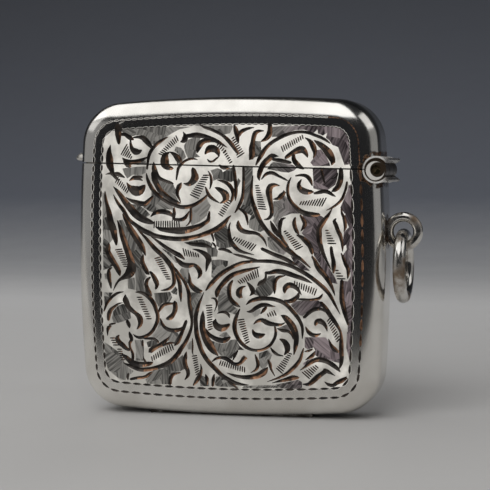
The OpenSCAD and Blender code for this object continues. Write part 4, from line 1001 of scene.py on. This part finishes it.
# The rounded edge outside the plate and the lining inside it, in rows of inset and depth.
edge_end = math.acos(1 - plate_inset / edge_r)
edge_steps = 14
side_row = 1.0
lining_r = edge_r - sheet
lining_steps = 8


def rounding(start, radius, end, steps):
    """Rows round an arc about the middle of the edge's rounding, from this inset."""
    middle = half_d - edge_r
    turns = np.linspace(0, end, steps)
    return [(start + radius * (1 - math.cos(turn)), middle + radius * math.sin(turn)) for turn in turns]


edge_rows = [(0, solder_gap), (0, side_row)] + rounding(0, edge_r, edge_end, edge_steps)
lining_rows = [(sheet, solder_gap)] + rounding(sheet, lining_r, math.pi / 2, lining_steps)


def add_skin(rows, finish, outward):
    """Bands of faces from row to row round the case; gives the last row's points."""
    ring = []
    for inset, depth in rows:
        before = ring
        first = len(front_points)
        front_points.extend((x, -depth, z) for x, z in outline(inset))
        ring = list(range(first, len(front_points)))
        for spot in range(len(before)):
            after = (spot + 1) % len(ring)
            band = (before[spot], before[after], ring[after], ring[spot])
            front_faces.append(band if outward else band[::-1])
            front_finish.append(finish)
    return ring


add_skin(edge_rows, POLISHED, True)
lining_top = add_skin(lining_rows, INSIDE, False)
front_faces.append(tuple(reversed(lining_top)))
front_finish.append(INSIDE)
add_skin([lining_rows[0], edge_rows[0]], POLISHED, True)


def copy_of(piece, name):
    """A copy with a mesh of its own."""
    twin = piece.copy()
    twin.data = piece.data.copy()
    twin.name = name
    bpy.context.scene.collection.objects.link(twin)
    return twin


def only(piece):
    """Selects this piece alone and makes it the active one."""
    bpy.ops.object.select_all(action="DESELECT")
    piece.select_set(True)
    bpy.context.view_layer.objects.active = piece


def cut_away(piece, cutter):
    """Takes the cutter's room out of the piece and removes the cutter."""
    only(piece)
    saw = piece.modifiers.new("saw", "BOOLEAN")
    saw.operation = "DIFFERENCE"
    saw.solver = "MANIFOLD"
    saw.object = cutter
    bpy.ops.object.modifier_apply(modifier=saw.name)
    bpy.data.objects.remove(cutter)


def add_block(low, high, turn=0.0, about=(0, 0, 0)):
    """A block between two corners, turned about the depth's axis."""
    bpy.ops.object.select_all(action="DESELECT")
    bpy.ops.mesh.primitive_cube_add(size=1)
    block = bpy.context.object
    low, high = Vector(low), Vector(high)
    span = Matrix.Diagonal((*(high - low), 1))
    spin = Matrix.Translation(about) @ Matrix.Rotation(turn, 4, "Y")
    block.data.transform(spin @ Matrix.Translation((low + high) / 2) @ span)
    return block


round_steps = 64


def add_rod(x, z, radius, length):
    """A rod along the depth."""
    bpy.ops.object.select_all(action="DESELECT")
    bpy.ops.mesh.primitive_cylinder_add(vertices=round_steps, radius=radius, depth=length)
    rod = bpy.context.object
    rod.data.transform(Matrix.Translation((x, 0, z)) @ Matrix.Rotation(math.pi / 2, 4, "X"))
    return rod


shell_weld = 2e-6
front_metres = [(x * MM, depth * MM, (z + mid_z) * MM) for x, depth, z in front_points]
front_mesh = bpy.data.meshes.new("body_front")
front_mesh.from_pydata(front_metres, [], front_faces)
for finish in shell_finishes:
    front_mesh.materials.append(finish)
front_mesh.polygons.foreach_set("material_index", front_finish)
body_front = bpy.data.objects.new("body_front", front_mesh)
bpy.context.scene.collection.objects.link(body_front)
only(body_front)
bpy.ops.object.mode_set(mode="EDIT")
bpy.ops.mesh.select_all(action="SELECT")
bpy.ops.mesh.remove_doubles(threshold=shell_weld)
bpy.ops.object.mode_set(mode="OBJECT")
lid_front = copy_of(body_front, "lid_front")

# The front is sawn at the seam, hollowed for the hinge and slotted in the base for the striker.
seam_turn = math.radians(1.7)
seam_half_gap = 0.1 * MM
hinge_room = 1.92 * MM
past = 60 * MM
cut_away(body_front, add_block((-past, -past, -seam_half_gap), (past, past, past), seam_turn, hinge_spot))
cut_away(lid_front, add_block((-past, -past, -past), (past, past, seam_half_gap), seam_turn, hinge_spot))
for shell in (body_front, lid_front):
    cut_away(shell, add_rod(hinge_spot.x, hinge_spot.z, hinge_room, past))
striker_low, striker_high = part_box("striker_strip")
striker_room = 0.02 * MM
slot_past = 2 * MM
slot_low = (striker_low.x - striker_room, striker_low.y - striker_room, -past)
slot_high = (striker_high.x + striker_room, striker_high.y + striker_room, striker_high.z + slot_past)
cut_away(body_front, add_block(slot_low, slot_high))

# The backs are the fronts' mirror images in the depth.
body_back = copy_of(body_front, "body_back")
lid_back = copy_of(lid_front, "lid_back")
for back in (body_back, lid_back):
    back.data.transform(Matrix.Diagonal((1, -1, 1, 1)))
    back.data.flip_normals()

shell_crease = math.radians(15)
for shell, node, body in ((body_front, "body_front_shell", "body"), (body_back, "body_back_shell", "body"),
                          (lid_front, "lid_front_shell", "lid"), (lid_back, "lid_back_shell", "lid")):
    only(shell)
    bpy.ops.object.shade_smooth_by_angle(angle=shell_crease)
    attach(shell, body)
    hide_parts(node)

# Thumb lug: a small blunt silver wedge, soldered to the lid's side just over the seam, away from the hinge.
# It is turned like a button, in rings of radius and height, and cut off where it meets the lid.
lug_silver = silver_finish("lug_silver", bright=(0.62, 0.6, 0.56), dull=(0.42, 0.4, 0.36),
                           rough=(0.3, 0.45), mottle=700)
lug_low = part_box("thumb_lug")[0]
lug_solid_out = 2.2 * MM
lug_side = lug_low.x + lug_solid_out
lug_out = 1.65 * MM
lug_sunk = 0.25 * MM
lug_over_seam = 0.05 * MM
lug_clear = seam_half_gap + lug_over_seam
lug_foot = hinge_spot.z + (hinge_spot.x - lug_side) * math.tan(seam_turn) + lug_clear
lug_rings = [(0.9, 0.08), (2.3, 0.2), (2.52, 0.36), (2.6, 0.55), (2.5, 0.85), (2.0, 1.25), (0.9, 1.52)]
lug_middle = lug_side - lug_out + max(lug_rings)[0] * MM
lug_crease = math.radians(40)
bpy.ops.object.select_all(action="DESELECT")
bpy.ops.mesh.primitive_circle_add(vertices=round_steps, radius=lug_rings[0][0] * MM, fill_type="NGON",
                                  location=(lug_middle, 0, lug_foot + lug_rings[0][1] * MM))
lid_lug = bpy.context.object
lid_lug.name = "lid_lug"
lid_lug.data.materials.append(lug_silver)
bpy.ops.object.transform_apply()
bpy.ops.object.mode_set(mode="EDIT")
bpy.ops.mesh.select_all(action="SELECT")
for (wide, low), (next_wide, high) in zip(lug_rings, lug_rings[1:]):
    bpy.ops.mesh.extrude_region_move(TRANSFORM_OT_translate={"value": (0, 0, (high - low) * MM)})
    grow = next_wide / wide
    bpy.ops.transform.resize(value=(grow, grow, 1), center_override=(lug_middle, 0, lug_foot + high * MM))
bpy.ops.mesh.select_all(action="SELECT")
bpy.ops.mesh.normals_make_consistent(inside=False)
bpy.ops.object.mode_set(mode="OBJECT")
cut_away(lid_lug, add_block((lug_side + lug_sunk, -past, -past), (past, past, past)))
only(lid_lug)
bpy.ops.object.shade_smooth_by_angle(angle=lug_crease)
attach(lid_lug, "lid")
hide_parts("thumb_lug")

# Striker strip: a grooved strip of silver on which matches are struck. It is let into a slot in the base,
# soldered in from inside, and dark from use and from painted shade under the case. Its solid is shown.
nodes = frame["nodes"]


def paint(finish, *names):
    """Gives solids of the frame their finish."""
    for name in names:
        nodes[name].data.materials.clear()
        nodes[name].data.materials.append(finish)


def tarnished_finish(name, bright, stain, mottle, spread):
    """Metal with dark tarnish left in patches."""
    finish = Finish(name)
    spots = finish.between(finish.cloud(mottle, 5.0), *spread)
    marks = finish.cloud(3000, 3.0)
    return finish.surface({
        "Base Color": finish.blend(spots, bright, stain),
        "Metallic": finish.between(spots, 0.0, 1.0, 1.0, 0.75),
        "Roughness": finish.between(spots * 0.7 + marks * 0.3, 0.1, 0.8, 0.14, 0.42),
        "Normal": finish.bump(marks, 3e-6),
    })


# Dark grey-brown: the grime of struck matches, and painted shade under the case.
striker_grime_and_shade = tarnished_finish("striker_grime_and_shade", bright=(0.2, 0.19, 0.175), stain=(0.06, 0.05, 0.042),
                                  mottle=500, spread=(0.35, 0.65))
paint(striker_grime_and_shade, "striker_strip")

# Mouth bezel, spring keeper and snap spring: the bezel is a silver collar, soldered inside the mouth to guide
# the lid. The keeper is a silver strap over the foot of the spring, a strip of blued steel that bears on the
# middle knuckle and holds the lid shut or open. Their solids are shown.
spring_steel = tarnished_finish("spring_steel", bright=(0.42, 0.44, 0.5), stain=(0.12, 0.13, 0.19),
                                mottle=350, spread=(0.35, 0.7))
paint(inside_silver, "mouth_bezel", "spring_keeper")
paint(spring_steel, "snap_spring")


# Hinge channels, knuckles and pin: two half tubes of silver along the case's side, one soldered to the body
# and one to the lid, each with a lip that stops the lid. Three lengths of silver tube lie in them, on a brass
# pin. Their solids are shown.
def channel_finish():
    """Rolled edge of the hinge: painted highlight towards the case, painted shade by the knuckle."""
    finish = Finish("hinge_silver")
    wear = finish.between(finish.cloud(600, 4.0), 0.42, 0.72)
    aside = finish.part(finish.place(), "X")
    # Painted light: bright on the side towards the case, grey on the outer lip, and dark brown painted shade
    # in the gap next to the knuckle.
    lip = finish.between(aside, hinge_spot.x + 0.8 * MM, hinge_spot.x + 1.6 * MM)
    lighter_tone = finish.between(finish.away(hinge_spot.x, hinge_spot.z), 1.6 * MM, 1.7 * MM)
    bright = finish.blend(wear, (0.97, 0.955, 0.92), (0.6, 0.53, 0.46))
    grey = finish.blend(wear, (0.2, 0.195, 0.19), (0.1, 0.085, 0.07))
    brown = finish.blend(wear, (0.06, 0.04, 0.025), (0.025, 0.017, 0.012))
    return finish.surface({
        "Base Color": finish.blend(lighter_tone, brown, finish.blend(lip, bright, grey)),
        "Metallic": 0.55,
        "Roughness": finish.between(wear, 0.0, 1.0, 0.24, 0.4),
    })


def knuckle_finish():
    """Silver tube with a painted highlight and painted shade round the pin, both a little off its middle."""
    finish = Finish("knuckle_silver")
    wear = finish.cloud(900, 3.0)
    from_hollow = finish.away(hinge_spot.x + 0.22 * MM, hinge_spot.z)
    from_crescent = finish.away(hinge_spot.x - 0.1 * MM, hinge_spot.z - 0.15 * MM)
    # Painted shade, dark brown, fills the hollow round the pin and the rim outside the crescent, by the gap
    # to the channel; the bright crescent between them is a painted highlight.
    past_hollow = finish.between(from_hollow, 0.98 * MM, 1.08 * MM)
    painted_crescent = past_hollow * finish.between(from_crescent, 1.25 * MM, 1.35 * MM, 1.0, 0.0)
    bright = finish.blend(wear, (0.95, 0.93, 0.89), (0.7, 0.66, 0.6))
    brown = finish.blend(wear, (0.05, 0.035, 0.022), (0.02, 0.014, 0.01))
    return finish.surface({
        "Base Color": finish.blend(painted_crescent, brown, bright),
        "Metallic": 0.5,
        "Roughness": finish.between(wear, 0.2, 0.8, 0.3, 0.45),
    })


pin_brass = tarnished_finish("pin_brass", bright=(0.4, 0.31, 0.17), stain=(0.09, 0.06, 0.035),
                             mottle=1500, spread=(0.4, 0.62))
paint(channel_finish(), "body_hinge_channel", "lid_hinge_channel")
paint(knuckle_finish(), "body_knuckle_front", "body_knuckle_back", "lid_knuckle")
paint(pin_brass, "hinge_pin")

# Suspension loop and jump ring: rings of round silver wire. The loop is soldered to the side under the hinge,
# and the jump ring hangs free in it, for a chain. Their solids are shown.
wire_silver = tarnished_finish("wire_silver", bright=(0.74, 0.72, 0.68), stain=(0.2, 0.145, 0.1),
                               mottle=320, spread=(0.46, 0.7))
paint(wire_silver, "suspension_loop", "jump_ring")


# Stage: a pale paper sheet that lies under the case and sweeps up behind it, lit by soft boxes.
# Its run is in metres of depth and height.
def sweep_finish():
    """Pale paper, with painted shade that darkens it to blue-grey further back and higher up."""
    finish = Finish("sweep_paper")
    spot = finish.place()
    # Painted shade: the paper's colour falls from pale grey near the case to dark blue-grey further back and
    # higher up.
    far = finish.between(finish.part(spot, "Y") + finish.part(spot, "Z") * 0.6, -0.1, 1.05)
    fibre = finish.cloud(60, 5.0)
    tones = ((0.0, (0.34, 0.333, 0.324)), (0.17, (0.43, 0.427, 0.424)),
             (0.5, (0.1, 0.108, 0.128)), (1.0, (0.056, 0.059, 0.068)))
    tone = finish.node("ShaderNodeValToRGB", {"stops": tones}, {"Fac": far + fibre * 0.02})
    return finish.surface({"Base Color": tone, "Roughness": finish.between(fibre, 0.0, 1.0, 0.5, 0.6)})


sweep_wide = 3.0
sweep_near = -0.07
sweep_flat = 0.3
sweep_bend = 0.5
sweep_high = 1.8
sweep_run = [(sweep_flat, 0.0)]
sweep_run += [(sweep_flat + sweep_bend * math.sin(turn), sweep_bend * (1 - math.cos(turn)))
              for turn in np.linspace(0.1, math.pi / 2, 14)]
sweep_run.append((sweep_flat + sweep_bend, sweep_high))
bpy.ops.object.select_all(action="DESELECT")
bpy.ops.mesh.primitive_plane_add(size=1, location=(0, (sweep_near + sweep_flat) / 2, 0))
sweep = bpy.context.object
sweep.name = "sweep"
sweep.scale = (sweep_wide, sweep_flat - sweep_near, 1)
bpy.ops.object.transform_apply()
sweep.data.materials.append(sweep_finish())
bpy.ops.object.mode_set(mode="EDIT")
bpy.ops.mesh.select_all(action="DESELECT")
bpy.ops.object.mode_set(mode="OBJECT")
for corner in sweep.data.vertices:
    corner.select = corner.co.y > 0
bpy.ops.object.mode_set(mode="EDIT")
for (near_y, low_z), (far_y, high_z) in zip(sweep_run, sweep_run[1:]):
    step = (0, far_y - near_y, high_z - low_z)
    bpy.ops.mesh.extrude_region_move(TRANSFORM_OT_translate={"value": step})
bpy.ops.object.mode_set(mode="OBJECT")
bpy.ops.object.shade_smooth()

case_middle = Vector((0, 0, mid_z * MM))


def soft_box(name, place, size, glow, mirrored=True):
    """A rectangular soft box aimed at the case, whose face glows at this level."""
    lamp = bpy.data.lights.new(name, "AREA")
    lamp.shape = "RECTANGLE"
    lamp.size, lamp.size_y = size
    lamp.energy = glow * math.pi * size[0] * size[1]
    box = bpy.data.objects.new(name, lamp)
    box.location = place
    box.rotation_mode = "QUATERNION"
    box.rotation_quaternion = (case_middle - Vector(place)).to_track_quat("-Z", "Y")
    box.visible_glossy = mirrored
    bpy.context.scene.collection.objects.link(box)


soft_box("top_box", (-0.15, -0.11, 0.5), (1.1, 0.5), 1.15)
soft_box("front_box", (-0.12, -0.52, 0.42), (0.6, 0.5), 4.9, mirrored=False)
soft_box("left_box", (-0.5, -0.17, 0.14), (0.8, 0.4), 0.22)
soft_box("right_box", (0.5, 0.04, 0.14), (0.44, 0.4), 0.22)
soft_box("left_top_box", (-0.55, -0.04, 0.4), (0.6, 0.34), 0.5)
soft_box("right_top_box", (0.45, 0.0, 0.42), (0.44, 0.3), 0.75)
soft_box("back_box", (0.0, 0.45, 0.42), (0.5, 0.3), 1.3, mirrored=False)

studio_dark = (0.014, 0.0145, 0.016, 1)
world = bpy.data.worlds.new("studio")
world.use_nodes = True
world.node_tree.nodes["Background"].inputs["Color"].default_value = studio_dark
bpy.context.scene.world = world

# The camera was fitted to the case's outline, its dashed border and its seam.
yaw, pitch, roll = (math.radians(angle) for angle in (14.69, 3.0, -0.335))
camera_away = 0.2278
back = Vector((math.sin(yaw) * math.cos(pitch), -math.cos(yaw) * math.cos(pitch), math.sin(pitch)))
level = Vector((math.cos(yaw), math.sin(yaw), 0))
right = math.cos(roll) * level + math.sin(roll) * back.cross(level)
turned = Matrix((right, back.cross(right), back)).transposed().to_4x4()
lens = bpy.data.cameras.new("camera")
lens.lens = 115.8
lens.sensor_width = 36
lens.shift_x = 0.0237
lens.shift_y = 0.0213
lens.clip_start = 0.01
camera = bpy.data.objects.new("camera", lens)
camera.matrix_world = Matrix.Translation(case_middle + back * camera_away) @ turned
bpy.context.scene.collection.objects.link(camera)
bpy.context.scene.camera = camera
bpy.context.scene.view_settings.view_transform = "Standard"
